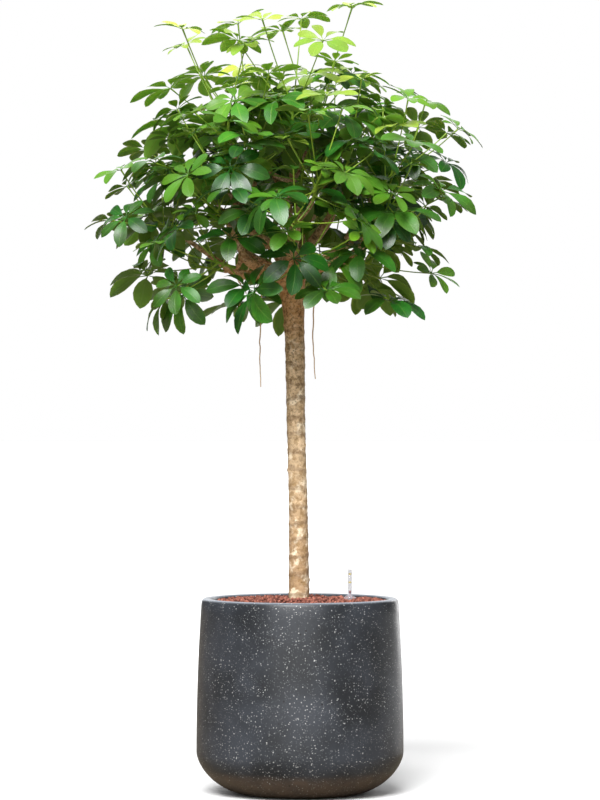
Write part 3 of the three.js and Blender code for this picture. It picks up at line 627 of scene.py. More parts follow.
# %% Sight tube and its bell
GAUGE_PLACE = (100, 14)
TUBE_RADIUS, TUBE_WALL, TUBE_MIDDLE, TUBE_TOP, TUBE_CAP = 4.8, 0.8, 420, 447.5, 1.6
BELL_FOOT, BELL_TOP, BELL_RADIUS, BELL_RIM, BELL_EDGE = 388, 400, 12.8, 2, 0.6
BELL_OUT, BELL_UP, BELL_TURNS_FROM, BELL_POINTS = 1.4, 0.8, 0.12, 9
TUBE_SIDES, TUBE_ROUND, ROUND_STEPS = 48, 1, 4
bore = TUBE_RADIUS - TUBE_WALL
bell_width, bell_height = BELL_RADIUS - TUBE_RADIUS, BELL_TOP - BELL_FOOT - BELL_RIM
profile = [(bore, BELL_FOOT), (BELL_RADIUS - BELL_EDGE, BELL_FOOT), (BELL_RADIUS, BELL_FOOT + BELL_EDGE),
           (BELL_RADIUS, BELL_FOOT + BELL_RIM)]
for turn in np.linspace(BELL_TURNS_FROM, math.pi / 2, BELL_POINTS):
    profile.append((BELL_RADIUS - bell_width * math.sin(turn) ** BELL_OUT,
                    BELL_FOOT + BELL_RIM + bell_height * (1 - math.cos(turn)) ** BELL_UP))
cap_foot = TUBE_TOP - TUBE_ROUND
profile += [(TUBE_RADIUS, TUBE_MIDDLE), (TUBE_RADIUS, cap_foot)]
profile += quarter_round(TUBE_RADIUS - TUBE_ROUND, cap_foot, TUBE_ROUND, 0, ROUND_STEPS) + [(0, TUBE_TOP)]
profile += [(0, TUBE_TOP - TUBE_CAP), (bore, TUBE_TOP - TUBE_CAP), (bore, BELL_FOOT)]
sight_tube = turned("gauge_sight_tube_clear", profile, TUBE_SIDES, GAUGE_PLACE)
print("sight tube:", triangle_count(sight_tube), "triangles")

# %% Printed marks, float and pin
MARK_HEIGHTS, MARK_SIZE, MARK_TURN, MARK_STEPS = (437.5, 421), 2.8, 0.52, 10
MARK_CORNERS = ((0.03, -0.5), (0.2, -0.5), (0.2, 0.5), (0.03, 0.5))
FLOAT_FOOT, FLOAT_TOP, SHOULDER_TOP, PIN_FOOT, PIN_TOP = 24.8, 84.8, 87.8, 92.8, 404
FLOAT_RADIUS, SHOULDER_RADIUS, PIN_RADIUS, PIN_TIP = 7.4, 6.4, 2.6, 0.001
FLOAT_SIDES, FLOAT_ROUND, PIN_STEPS = 32, 1, 5


def curved_bar(name, height):
    """A printed bar that lies on the front of the tube."""
    points, faces = [], []
    for i in range(MARK_STEPS + 1):
        turn = -math.pi / 2 + mix(-MARK_TURN, MARK_TURN, i / MARK_STEPS)
        for lift, rise in MARK_CORNERS:
            out = TUBE_RADIUS + lift
            points.append((GAUGE_PLACE[0] + out * math.cos(turn), GAUGE_PLACE[1] + out * math.sin(turn),
                           height + rise * MARK_SIZE))
    for i in range(0, 4 * MARK_STEPS, 4):
        faces += [[i + k, i + 4 + k, i + 4 + (k + 1) % 4, i + (k + 1) % 4] for k in range(4)]
    faces += [[0, 1, 2, 3], [4 * MARK_STEPS + k for k in (3, 2, 1, 0)]]
    return new_object(name, mesh_of(name, np.array(points) * MM, faces))


bands = [curved_bar(f"gauge_mark_{number}", height) for number, height in enumerate(MARK_HEIGHTS, 1)]
round_centre = FLOAT_RADIUS - FLOAT_ROUND
profile = [(0, FLOAT_FOOT), (round_centre, FLOAT_FOOT)]
profile += quarter_round(round_centre, FLOAT_FOOT + FLOAT_ROUND, FLOAT_ROUND, -90, ROUND_STEPS)
profile += [(FLOAT_RADIUS, FLOAT_TOP), (SHOULDER_RADIUS, SHOULDER_TOP), (PIN_RADIUS, PIN_FOOT)]
profile += [(PIN_RADIUS, PIN_TOP - PIN_RADIUS)]
profile += quarter_round(PIN_TIP, PIN_TOP - PIN_RADIUS, PIN_RADIUS, 0, PIN_STEPS)[:-1] + [(0, PIN_TOP)]
red_float = turned("gauge_float_red", profile, FLOAT_SIDES, GAUGE_PLACE)
print("marks, float and pin:", sum(map(triangle_count, [red_float, *bands])), "triangles")


# %% [markdown]
# ## Gauge plastics
# The tube's plastic has aged: pale and see-through in the tube. The bell is painted much paler, a
# painted highlight that stands in for the reflections on its dome. A thin finish that lets part of
# the light through suits it better than glass that bends light, and the faint scratches of wiping
# change its roughness. The printed marks and the float are glossy, with small changes of tone.


# %% Gauge materials
def glossy_plastic(name, dark, light):
    made, tree, shader = new_material(name, IOR=1.5, Coat_Weight=0.3, Coat_Roughness=0.1)
    wire(place(tree, CLOUDY_TONE, Dark=dark, Light=light, Scale=90.0, Spread=0.3)[0], shader["Base Color"])
    roughen(shader, (1200.0, 200.0, 0.5), (0.4, 1.1), (0.22, 0.36))
    return made


# From CLEAR_FROM down into the bell the colour turns pale: a painted highlight on the bell.
CLEAR_FROM, BELL_HIGHLIGHT_UNDER = 0.402, 0.397
clear, tree, shader = new_material("clear_gauge_plastic", IOR=1.3, Alpha=0.2, Coat_Weight=0.2)
tint = place(tree, CLOUDY_TONE, Dark=colour(98, 97, 104), Light=colour(116, 115, 122), Scale=60.0,
             Spread=0.3)[0]
# painted highlight: the bell is painted pale, for the reflections on its dome
bell_highlight = remap(axis(object_place(tree), "Z"), CLEAR_FROM, BELL_HIGHLIGHT_UNDER)
wire(blend(bell_highlight, tint, colour(222, 219, 228)), shader["Base Color"])
roughen(shader, (700.0, 120.0, 0.6), (0.5, 1.2), (0.04, 0.14))
yellow = glossy_plastic("yellow_mark_print", colour(166, 148, 76), colour(190, 172, 104))
red = glossy_plastic("red_float_plastic", colour(140, 22, 12), colour(186, 40, 22))
for band in bands:
    finish_piece(band, "plant", "gauge_sight_tube", yellow)
finish_piece(sight_tube, "plant", "gauge_sight_tube", clear)
finish_piece(red_float, "float", "gauge_float", red)
print("gauge finishes:", clear.name, yellow.name, red.name)

# %% [markdown]
# ## The plan of the crown
# The wood and the leaves come from one growth rule, which also made the solids. Five rings of
# shoots lie on an egg-shaped dome. Each shoot takes small seeded draws for its place and its
# leaves, and is drawn again until it stands clear of everything placed before. The same rule and
# draws here put each fine leaf where its solid leaf stands. Scattered leaves would float and cross.

# %% Numbers of the growth rule, in millimetres
GAP = 0.3
STEM = np.array([
    (-2, 0, 240, 19), (-2, 0, 370, 21), (-2, 0, 430, 20.2), (-4, 0, 590, 18.6), (-8, 0, 740, 18.4),
    (-9.5, 0, 860, 19.6), (-12, 0, 950, 20.6), (-16, 0, 1005, 26), (-20, 0, 1042, 32), (-20, 0, 1070, 27),
], float)
CROWN_CENTRE = np.array([-30.0, 0, 1130])
LIMBS = [np.array(way, float) for way in [
    [[-20, 0, 1036], [-80, -18, 1034], [-128, -14, 1040], [-158, -6, 1060]],
    [[-26, 0, 1050], [-56, -26, 1092], [-96, -44, 1120], [-124, -56, 1166]],
    [[-20, 0, 1056], [-14, 8, 1110], [-24, 14, 1165], [-14, 16, 1230]],
    [[-14, 0, 1050], [36, -14, 1058], [98, -20, 1072], [134, -12, 1104]],
    [[-18, -6, 1050], [-16, -64, 1082], [-8, -100, 1110], [-6, -118, 1146]],
    [[-18, 8, 1052], [-8, 70, 1076], [2, 112, 1106], [0, 128, 1146]],
    [[-14, -6, 1040], [28, -54, 1046], [66, -92, 1060], [86, -108, 1088]],
    [[-28, 8, 1042], [-74, 52, 1050], [-108, 88, 1070], [-122, 104, 1100]],
    [[-12, 8, 1042], [38, 56, 1054], [72, 92, 1074], [90, 106, 1106]],
    [[-28, -6, 1040], [-70, -50, 1046], [-104, -86, 1062], [-120, -102, 1090]],
    [[-16, 4, 1052], [26, 18, 1104], [62, 26, 1156], [80, 26, 1214]],
]]
AERIAL_ROOTS = [((-74, -16, 1034), 222, -6), ((36, -12, 1060), 232, -10), ((-132, -18, 1040), 66, 18),
                ((-98, -76, 1054), 58, -14), ((60, -84, 1050), 60, 10)]
SHOOT_RINGS = [
    {"count": 4, "radius": 85, "height": 1353, "turn": 25, "x": -69, "reach": 1.32, "tilt": 0.32},
    {"count": 6, "radius": 130, "height": 1280, "turn": 48, "x": -20, "reach": 1.23, "tilt": 0.16},
    {"count": 7, "radius": 214, "height": 1233, "turn": 17, "x": 2, "reach": 0.96, "tilt": 0.32},
    {"count": 7, "radius": 233, "height": 1159, "turn": 26, "x": -48, "reach": 0.83, "tilt": 0.45},
    {"count": 6, "radius": 164, "height": 1077, "turn": 42, "x": -36, "reach": 1.08, "tilt": 0.41},
]
SHOOT_SCATTER, SHOOT_LENGTH, SHOOT_LIFT, LEAVES_PER_SHOOT = 22, 58, 0.55, 8
CROWN_SEED, REDRAW_STEP, MOST_DRAWS, ROD_CLEARANCE, WARM_UP = 3875, 101, 200, 1.5, 4
TWIG_SUNK, TWIG_RISE, TWIG_RADIUS, SHOOT_RADIUS, STALK_RADIUS, HUB_RADIUS = 9, 0.3, 5.6, 3.8, 1.9, 6.5
STALK_LENGTH, STALK_LEAN, STALK_LIFT, STALKS_FROM_TO = (112, 146), (98, 20), 0.24, (0.2, 0.95)
LEAFLET_LENGTH, LEAFLET_DROP, LEAFLET_RISE = (104, 60), (0.28, -0.1), 0.4
SHORTEST_STALK, STALK_SPREAD, LEAN_SCATTER, FACE_SCATTER = 0.72, 0.56, 14, 0.7
SHORTEST_LEAFLET, LEAFLET_SPREAD, DROP_SCATTER = 0.88, 0.24, 0.16
GOLDEN_TURN = math.pi * (3 - math.sqrt(5))
UP = np.array([0.0, 0, 1])
print("shoots to place:", sum(ring["count"] for ring in SHOOT_RINGS))


# %% Draws and directions
def make_draw(seed):
    """Numbers from 0 to 1, the same on every run."""
    state = seed % 2**32

    def draw():
        nonlocal state
        state = (state * 1664525 + 1013904223) % 2**32
        return state / 2**32

    for _ in range(WARM_UP):
        draw()
    return draw


def unit(v):
    return v / np.linalg.norm(v)


# %% Where a shoot and its leaves go
def place_shoot(ring, turn, draw):
    reach, nudge = ring["radius"], 2 * SHOOT_SCATTER
    tip = np.array([ring["x"] + reach * math.cos(turn) + (draw() - 0.5) * nudge,
                    reach * math.sin(turn) + (draw() - 0.5) * nudge,
                    ring["height"] + (draw() - 0.5) * nudge])
    axis = unit(unit(tip - CROWN_CENTRE) + UP * SHOOT_LIFT)
    foot = tip - axis * SHOOT_LENGTH
    limb = min(LIMBS, key=lambda way: np.linalg.norm(way[-1] - foot))
    knuckle = limb[-1]
    heel = knuckle + unit(limb[-2] - knuckle) * TWIG_SUNK
    end = foot - axis * GAP
    bend = end - axis * TWIG_RISE * np.linalg.norm(knuckle - end)
    return {"tip": tip, "axis": axis, "foot": foot, "heel": heel, "bend": bend, "end": end,
            "reach": ring["reach"], "tilt": ring["tilt"]}


def plan_leaves(shoot, draw):
    axis, foot = shoot["axis"], shoot["foot"]
    sideways = unit(np.cross(axis, (0.3, 1, 0.1)))
    across = np.cross(axis, sideways)
    start = draw() * 2 * math.pi
    leaves = []
    for i in range(LEAVES_PER_SHOOT):
        age = (i + 0.5) / LEAVES_PER_SHOOT
        spin = start + i * GOLDEN_TURN
        lean = math.radians(mix(*STALK_LEAN, age) + (draw() - 0.5) * LEAN_SCATTER)
        side = sideways * math.cos(spin) + across * math.sin(spin)
        along = unit(axis * math.cos(lean) + side * math.sin(lean) + UP * STALK_LIFT)
        root = foot + axis * SHOOT_LENGTH * mix(*STALKS_FROM_TO, age)
        stalk = mix(*STALK_LENGTH, age) * mix(1, shoot["reach"], age * age)
        stalk = stalk * (SHORTEST_STALK + STALK_SPREAD * draw())
        face = unit(along * shoot["tilt"] + UP * (1 - shoot["tilt"]) + side * (draw() - 0.5) * FACE_SCATTER
                    + np.cross(axis, side) * (draw() - 0.5) * FACE_SCATTER)
        leaves.append({"root": root, "hub": root + along * stalk, "along": along, "face": face, "age": age,
                       "out": unit(side - face * side.dot(face)),
                       "length": mix(*LEAFLET_LENGTH, age) * (SHORTEST_LEAFLET + LEAFLET_SPREAD * draw()),
                       "drop": mix(*LEAFLET_DROP, age) + (draw() - 0.5) * DROP_SCATTER})
    return leaves


# %% Room between rods
def rods_along(points, radius):
    """Straight rods through the points: start, end and radius in one row."""
    return [np.concatenate([a, b, [radius]]) for a, b in zip(points, points[1:])]


def tightest(rods, others):
    """The least clear distance between any rod and any other."""
    a, b = np.array(rods)[:, None], np.array(others)[None]
    u, v, w = a[..., 3:6] - a[..., :3], b[..., 3:6] - b[..., :3], a[..., :3] - b[..., :3]
    uu, uv, vv, uw, vw = [(p * q).sum(-1) for p, q in ((u, u), (u, v), (v, v), (u, w), (v, w))]
    spread = uu * vv - uv * uv
    crossing = np.clip((uv * vw - vv * uw) / np.where(spread == 0, 1, spread), 0, 1)
    s = np.where(spread > 1e-9 * uu * vv, crossing, 0)
    t = np.clip((uv * s + vw) / vv, 0, 1)
    s = np.clip((uv * t - uw) / uu, 0, 1)
    apart = np.linalg.norm(w + u * s[..., None] - v * t[..., None], axis=-1)
    return (apart - a[..., 6] - b[..., 6]).min()


def aerial_path(start, length, drift):
    top = np.array(start, float)
    return [top, top + (drift, -2, -length * 0.55), top + (drift * 0.6, 2, -length)]


def twig_middle(shoot):
    heel, bend, end = shoot["heel"], shoot["bend"], shoot["end"]
    return mix(mix(heel, bend, 0.5), mix(bend, end, 0.5), 0.5)


# %% The whole crown
STEM_ROOM, LIMB_ROOM, ROOT_ROOM = 27, 16, 4


def plan_crown():
    wood = rods_along(STEM[:, :3], STEM_ROOM)
    for way in LIMBS:
        wood += rods_along(way, LIMB_ROOM)
    for root in AERIAL_ROOTS:
        wood += rods_along(aerial_path(*root), ROOT_ROOM)
    green, shoots = [], []
    for level, ring in enumerate(SHOOT_RINGS):
        for i in range(ring["count"]):
            turn = math.radians(ring["turn"] + 360 * i / ring["count"])
            best = None
            for attempt in range(MOST_DRAWS):
                draw = make_draw(CROWN_SEED + len(shoots) + attempt * REDRAW_STEP)
                shoot = place_shoot(ring, turn, draw)
                shoot["level"], shoot["leaves"] = level, plan_leaves(shoot, draw)
                rods = rods_along([shoot["foot"], shoot["tip"]], SHOOT_RADIUS)
                for leaf in shoot["leaves"][1::2]:
                    rods += rods_along([leaf["root"], leaf["hub"]], STALK_RADIUS)
                    rods += rods_along([leaf["hub"] - leaf["face"], leaf["hub"] + leaf["face"]], HUB_RADIUS)
                twig = rods_along([shoot["heel"], twig_middle(shoot), shoot["end"]], TWIG_RADIUS)
                room = min(tightest(rods, wood + green), tightest(rods, twig[:1]))
                if green:
                    room = min(room, tightest(twig, green))
                if best is None or room > best[0]:
                    best = (room, shoot, rods, twig)
                if best[0] > ROD_CLEARANCE:
                    break
            shoots.append(best[1])
            green += best[2]
            wood += best[3]
    return shoots


SHOOTS = plan_crown()
print(len(SHOOTS), "shoots with", sum(len(s["leaves"]) for s in SHOOTS), "leaves")


# %% [markdown]
# ## One tree for everything that is a stem
# Trunk, limbs, twigs, hanging roots and leaf stalks are all round rods along a path. A Bevel on a
# curve could make them, but its thickness is awkward to vary. Here each path is a chain of edges
# whose points carry their own radius. A tree turns the chain into a curve and sweeps a circle
# along it, with closed ends.


# %% Stem tree
def guide_mesh(name, paths):
    """Chains of edges; each path is a list of (point, radius) in millimetres."""
    points, edges, radii = [], [], []
    for path in paths:
        edges += [(len(points) + i, len(points) + i + 1) for i in range(len(path) - 1)]
        points += [point for point, _ in path]
        radii += [radius for _, radius in path]
    mesh = mesh_of(name, np.array(points) * MM, edges=edges)
    mark(mesh, "thick", np.array(radii) * MM)
    return new_object(name, mesh)


ROUND_STEMS, take, give = geometry_tree("round_stems", Sides="Int", Material="Material")
chains = add(ROUND_STEMS, "GeometryNodeMeshToCurve", {"Mesh": take["Geometry"]})[0]
ring = add(ROUND_STEMS, "GeometryNodeCurvePrimitiveCircle", {"Resolution": take["Sides"], "Radius": 1.0})[0]
swept = add(ROUND_STEMS, "GeometryNodeCurveToMesh",
            {"Curve": chains, "Profile Curve": ring, "Scale": attribute(ROUND_STEMS, "thick"),
             "Fill Caps": True})[0]
finished_geometry(swept, take["Material"], give)


# %% Curved paths
PATH_STEPS = 6


def smooth_path(way, steps):
    """A curve through the way points, as even as the one that made the solids."""
    way = np.array(way, float)
    ends = np.vstack([2 * way[0] - way[1], way, 2 * way[-1] - way[-2]])
    out = []
    for k in range(1, len(ends) - 2):
        p0, p1, p2, p3 = ends[k - 1:k + 3]
        d0, d1, d2 = [np.linalg.norm(b[:3] - a[:3]) ** 0.5 for a, b in ((p0, p1), (p1, p2), (p2, p3))]
        m1 = ((p1 - p0) / d0 - (p2 - p0) / (d0 + d1) + (p2 - p1) / d1) * d1
        m2 = ((p2 - p1) / d1 - (p3 - p1) / (d1 + d2) + (p3 - p2) / d2) * d1
        for i in range(steps):
            t = i / steps
            out.append(p1 + m1 * t + (3 * (p2 - p1) - 2 * m1 - m2) * t**2
                       + (2 * (p1 - p2) + m1 + m2) * t**3)
    return out + [way[-1]]


def tapered(line, radii):
    """Gives each point of a line its radius, from the first of the two to the second."""
    last = len(line) - 1
    return [(point, mix(*radii, i / last)) for i, point in enumerate(line)]


print("the stem's curve has", len(smooth_path(STEM, PATH_STEPS)), "points")

# %% [markdown]
# ## The wood
# The stem has ring scars where old leaves sat, low knobs where side shoots were cut away, and a
# swollen head where all the limbs start. Separate rods would only poke into each other. A voxel
# remesh welds them into one skin with soft forks, and a second tree then pushes that skin in and
# out along its normals: rings, broad lumps and fine bark.

# %% Wood guides
TWIG_STEPS, WOOD_SIDES = 8, 24
LIMB_RADII, LIMB_END_SWELL, TWIG_RADII = (13, 7), 2, (5.6, 4.4)
KNOB_COUNT, KNOBS_FROM_TO, KNOB_RISE, KNOB_FOOT = 11, (405, 1000), 0.35, 6
KNOB_PLACE_SCATTER, KNOB_TURN_SCATTER, KNOB_STANDS_OUT = (0.1, 0.9), 0.5, (0.2, 2.2)
KNOB_SUNK, KNOB_RADII = 1, (7.5, 6.0, 3.6)
WOOD_SEED, WELD_SIZE, SOFTENINGS, SOFTNESS = 71, 0.0023, 4, 0.5
rng = np.random.default_rng(WOOD_SEED)
paths = [[(row[:3], row[3]) for row in smooth_path(STEM, PATH_STEPS)]]
for way in LIMBS:
    limb = tapered(smooth_path(way, PATH_STEPS), LIMB_RADII)
    paths.append(limb[:-1] + [(limb[-1][0], limb[-1][1] + LIMB_END_SWELL)])
for shoot in SHOOTS:
    heel, bend, end = shoot["heel"], shoot["bend"], shoot["end"]
    line = [mix(mix(heel, bend, t), mix(bend, end, t), t) for t in np.linspace(0, 1, TWIG_STEPS)]
    paths.append(tapered(line, TWIG_RADII))
for i in range(KNOB_COUNT):
    height = mix(*KNOBS_FROM_TO, (i + rng.uniform(*KNOB_PLACE_SCATTER)) / KNOB_COUNT)
    turn = i * GOLDEN_TURN + rng.uniform(-KNOB_TURN_SCATTER, KNOB_TURN_SCATTER)
    centre = np.array([np.interp(height, STEM[:, 2], STEM[:, 0]), 0, height])
    away = np.array([math.cos(turn), math.sin(turn), KNOB_RISE])
    radius = np.interp(height, STEM[:, 2], STEM[:, 3])
    reaches = (KNOB_FOOT, radius - KNOB_SUNK, radius + rng.uniform(*KNOB_STANDS_OUT))
    paths.append([(centre + away * reach, thick) for reach, thick in zip(reaches, KNOB_RADII)])
wood = grow(guide_mesh("wood_guides", paths), ROUND_STEMS, Sides=WOOD_SIDES)
weld = wood.modifiers.new("weld", "REMESH")
weld.mode = "VOXEL"
weld.voxel_size = WELD_SIZE
soften = wood.modifiers.new("soften", "SMOOTH")
soften.iterations = SOFTENINGS
soften.factor = SOFTNESS
print(len(paths), "rods in the wood")


# %% Bark relief tree
def scar_rings(where):
    """Wavy bands up the stem, for the relief and for the colour alike."""
    inputs = {"Vector": where, "Scale": 9.0, "Distortion": 5.0, "Detail": 2.0, "Detail Scale": 1.6}
    return add(where.id_data, "ShaderNodeTexWave", inputs, wave_type="BANDS", bands_direction="Z")["Fac"]


CROWN_FADE, CROWN_SHARE = 0.03, 0.4
RELIEF, take, give = geometry_tree("bark_relief", Ring_height="Float", Lump_height="Float",
                                   Bark_height="Float", Crown_start="Float", Material="Material")
where = add(RELIEF, "GeometryNodeInputPosition")[0]
rings = times(remap(scar_rings(where), 0.62, 0.95), take["Ring height"])
lumps = times(minus(noise(where, 34.0, 2.0), 0.5), take["Lump height"])
flakes = times(minus(noise(where, 190.0, 3.0, 0.6), 0.5), take["Bark height"])
crown_end = plus(take["Crown start"], CROWN_FADE)
finer = remap(axis(where, "Z"), take["Crown start"], crown_end, 1.0, CROWN_SHARE)
outwards = add(RELIEF, "GeometryNodeInputNormal")[0]
push = vector_calc("SCALE", outwards, Scale=times(plus(rings, lumps, flakes), finer))
finished_geometry(move_points(take["Geometry"], push), take["Material"], give)

# %% [markdown]
# ## Bark
# The bark is tan, with cream patches where the skin has flaked, grey-brown rings at the scars and
# small dark corky pores. Towards the head of the stem it turns browner and more finely flecked, with
# dark flecks among cream ones. Part of its colour is painted light and shade: painted shade makes
# the stem darker low down, where the front light falls strongest, and painted light makes it
# lighter half way up and under the head, where the crown shades it. The colour follows the same
# rings as the relief, so a scar is dark where it stands out. Hanging roots are young wood, with a
# paler and smoother skin of their own.

# %% Bark material
bark, tree, shader = new_material("bark", IOR=1.4)
where = object_place(tree)
up = axis(where, "Z")
tan = place(tree, CLOUDY_TONE, Dark=colour(160, 130, 92), Light=colour(216, 186, 150), Scale=42.0,
            Spread=0.25)[0]
flaked = remap(noise(where, 40.0, 5.0, 0.6), 0.5, 0.62)
cracked = remap(noise(where, 95.0, 5.0, 0.6), 0.5, 0.4)
flecked = noise(where, 150.0, 8.0, 0.74)
pores = place(tree, SPECKS, Scale=220.0, Size=0.36, Share=0.22, Clumps=20.0)[0]
# Painted shade: the stem is painted darker towards the bottom, where the front light falls strongest.
painted_shade_low = remap(up, 0.7, 0.42)
# Painted light: the middle of the stem is painted lighter, and the flakes a little stronger higher up, to
# make up for the crown's shadow.
painted_light_mid = remap(up, 0.48, 0.7)
# Under the head the wood turns a browner orange-tan, its own tone, but painted lighter than it is: painted
# light that makes up for the crown's shadow.
head_tone_and_light = times(remap(up, 0.85, 1.0), remap(up, 1.03, 1.09, 1.0, 0.4))
old_part = remap(up, 0.6, 0.9, 0.35, 1.0)
skin = layered(
    tan,
    # painted shade: darker low down
    (painted_shade_low, 0.6, colour(154, 122, 88)),
    # painted light: lighter half way up, against the crown's shadow
    (painted_light_mid, 0.3, colour(250, 226, 190)),
    # flakes, a little stronger higher up: partly painted light against the crown's shadow
    (flaked, remap(up, 0.4, 0.8, 0.7, 0.75), colour(250, 234, 206)),
    (cracked, 0.6, colour(140, 110, 66)),
    (remap(scar_rings(where), 0.7, 0.97), 0.45, colour(118, 94, 70)),
    (pores, 0.7, colour(86, 66, 46)),
    # browner head tone, painted lighter against the crown's shadow
    (head_tone_and_light, 0.6, colour(214, 150, 86)),
    (times(remap(flecked, 0.52, 0.4), old_part), 0.75, colour(92, 70, 42)),
    (times(remap(flecked, 0.54, 0.66), old_part), 0.75, colour(226, 198, 156)),
)
wire(skin, shader["Base Color"])
cork = roughen(shader, (600.0, 130.0, 1.2), (0.6, 1.6), (0.72, 0.95))
bump(shader, minus(cork, times(pores, 0.4)), 0.6, 0.0012)
print("bark has", len(tree.nodes), "nodes")

# %% Finished wood and hanging roots
ROOT_STEPS, ROOT_RADII, ROOT_SIDES, WIGGLE = 10, (1.7, 0.9), 8, 0.9
grow(wood, RELIEF, Ring_height=0.0006, Lump_height=0.0022, Bark_height=0.0024, Crown_start=1.0,
     Material=bark)
wood = apply_modifiers(wood, "stem_and_limbs_bark")
finish_piece(wood, "plant", "stem_and_limbs")
hanging = []
for root in AERIAL_ROOTS:
    line = smooth_path(aerial_path(*root), ROOT_STEPS)
    line = [p + np.array([rng.uniform(-WIGGLE, WIGGLE), rng.uniform(-WIGGLE, WIGGLE), 0]) for p in line]
    hanging.append(tapered(line, ROOT_RADII))
root_skin, tree, shader = new_material("root_skin", IOR=1.4, Roughness=0.8)
pale = place(tree, CLOUDY_TONE, Dark=colour(196, 150, 104), Light=colour(240, 214, 172), Scale=60.0,
             Spread=0.25)[0]
wire(pale, shader["Base Color"])
roots = grow(guide_mesh("root_guides", hanging), ROUND_STEMS, Sides=ROOT_SIDES, Material=root_skin)
roots = apply_modifiers(roots, "aerial_roots_bark")
finish_piece(roots, "plant", "stem_and_limbs")
print("wood:", triangle_count(wood), "triangles; hanging roots:", triangle_count(roots))

# %% [markdown]
# ## One leaflet
# A leaflet has a short stalklet, a blade that is widest past its middle, and a rounded end with a
# short point. It folds a little along its pressed-in rib. As it is repeated well over a thousand
# times it may have only a few dozen faces, so the shape lies in where they are put. It is one thin
# closed shell. Its UV map runs from stalklet to tip and from edge to edge, for the veins.

# %% Leaflet shape
STATIONS = [(0.0, 0.012), (0.19, 0.013), (0.27, 0.066), (0.4, 0.142), (0.56, 0.192), (0.72, 0.203),
            (0.86, 0.164), (0.95, 0.09)]
ACROSS = (-1, -0.5, 0, 0.5, 1)
FOLD, RIB_DEPTH, BLADE_THICK, STALKLET_THICK, STALKLET_END = 0.12, 0.004, 0.0045, 0.0075, 0.2


def leaflet_mesh():
    """One leaflet, 1 long, along X, upper side towards Z. Both sides share the points of its edge."""
    points, marks, upper, lower = [], [], [], []
    for u, half in STATIONS:
        thick = BLADE_THICK if u > STALKLET_END else STALKLET_THICK
        first = len(points)
        for layer, row in ((1, ACROSS), (-1, ACROSS[1:-1])):
            for v in row:
                sunk = RIB_DEPTH if v == 0 else 0.0
                rise = layer * thick if abs(v) < 1 else 0.0
                points.append((u, v * half, FOLD * abs(v) * half - sunk + rise))
                marks.append((u, v))
        upper.append([first + j for j in range(5)])
        lower.append([first + j for j in (0, 5, 6, 7, 4)])
    for layer in (upper, lower):
        layer.append([len(points)] * 5)
    points.append((1.0, 0, 0.0))
    marks.append((1.0, 0))
    faces = []
    for k in range(len(STATIONS)):
        for j in range(4):
            over = [upper[k][j], upper[k + 1][j], upper[k + 1][j + 1], upper[k][j + 1]]
            below = [lower[k][j + 1], lower[k + 1][j + 1], lower[k + 1][j], lower[k][j]]
            faces += [list(dict.fromkeys(over)), list(dict.fromkeys(below))]
    under = [0.0, 1.0] * (len(faces) // 2) + [0.0]
    faces.append(upper[0] + lower[0][3:0:-1])
    mesh = mesh_of("leaflet", points, faces)
    for title, values in zip(("reach", "side"), zip(*marks)):
        mark(mesh, title, values)
    mark(mesh, "under", under, domain="FACE")
    sides_of_edge = {}
    for polygon, side in zip(mesh.polygons, under):
        for key in polygon.edge_keys:
            sides_of_edge.setdefault(key, set()).add(side)
    rim = [len(sides_of_edge[edge.key]) > 1 for edge in mesh.edges]
    mark(mesh, "sharp_edge", rim, "BOOLEAN", "EDGE")
    layer = mesh.uv_layers.new(name="leaf_map")
    for loop in mesh.loops:
        u, v = marks[loop.vertex_index]
        layer.data[loop.index].uv = (u, 0.5 + 0.5 * v)
    return mesh


LEAFLET = new_object("leaflet_pattern", leaflet_mesh())
check = bmesh.new()
check.from_mesh(LEAFLET.data)
print("leaflet:", len(check.faces), "faces, closed", all(e.is_manifold for e in check.edges),
      "volume", round(check.calc_volume(signed=True), 5))
check.free()

# %% [markdown]
# ## Whorls of leaflets
# Each leaf stalk ends in seven or eight leaflets that spread like the ribs of an umbrella. Each
# leaflet is one point that knows its direction, its upward side, its length and how far it droops.
# The tree sets a copy of the leaflet on each point, then bends the copies after they are real
# faces: they rise a little from the hub, droop towards the tip and wave along their edges.

# %% Whorl tree
WAVE_BY_TONE, WAVE_ALONG, DRAWN_IN = 40.0, 9.0, -0.2
WHORLS, take, give = geometry_tree("whorls_of_leaflets", Leaflet="Object", Rise="Float", Wave="Float",
                                   Material="Material")
u, v, span, drop, tone = [attribute(WHORLS, name) for name in ("reach", "side", "span", "drop", "tone")]
face, spoke = [attribute(WHORLS, name, "FLOAT_VECTOR") for name in ("face", "spoke")]
dots = add(WHORLS, "GeometryNodeMeshToPoints", {"Mesh": take["Geometry"]})[0]
shape = add(WHORLS, "GeometryNodeObjectInfo", {"Object": take["Leaflet"]})["Geometry"]
facing = add(WHORLS, "FunctionNodeAxesToRotation", {"Primary Axis": face, "Secondary Axis": spoke},
             primary_axis="Z", secondary_axis="X")[0]
copies = add(WHORLS, "GeometryNodeInstanceOnPoints",
             {"Points": dots, "Instance": shape, "Rotation": facing, "Scale": span})[0]
real = add(WHORLS, "GeometryNodeRealizeInstances", {"Geometry": copies})[0]
square = times(u, u)
sag = minus(times(take["Rise"], u), times(plus(take["Rise"], drop), square))
phase = plus(times(tone, WAVE_BY_TONE), times(u, WAVE_ALONG))
wave = times(calc("SINE", phase), v, take["Wave"])
lifted = vector_calc("SCALE", face, Scale=times(plus(sag, wave), span))
shortened = vector_calc("SCALE", spoke, Scale=times(drop, square, span, DRAWN_IN))
finished_geometry(move_points(real, vector_calc("ADD", lifted, shortened)), take["Material"], give)

# %% [markdown]
# ## Leaf surface
# Old leaves are deep green and waxy, with a pale midrib and faint side veins, and paler below. Young
# ones are yellow-green and softer. One group works out colour and relief for both from the
# leaflet's own UV map and its tone, and each material sets its own colours.

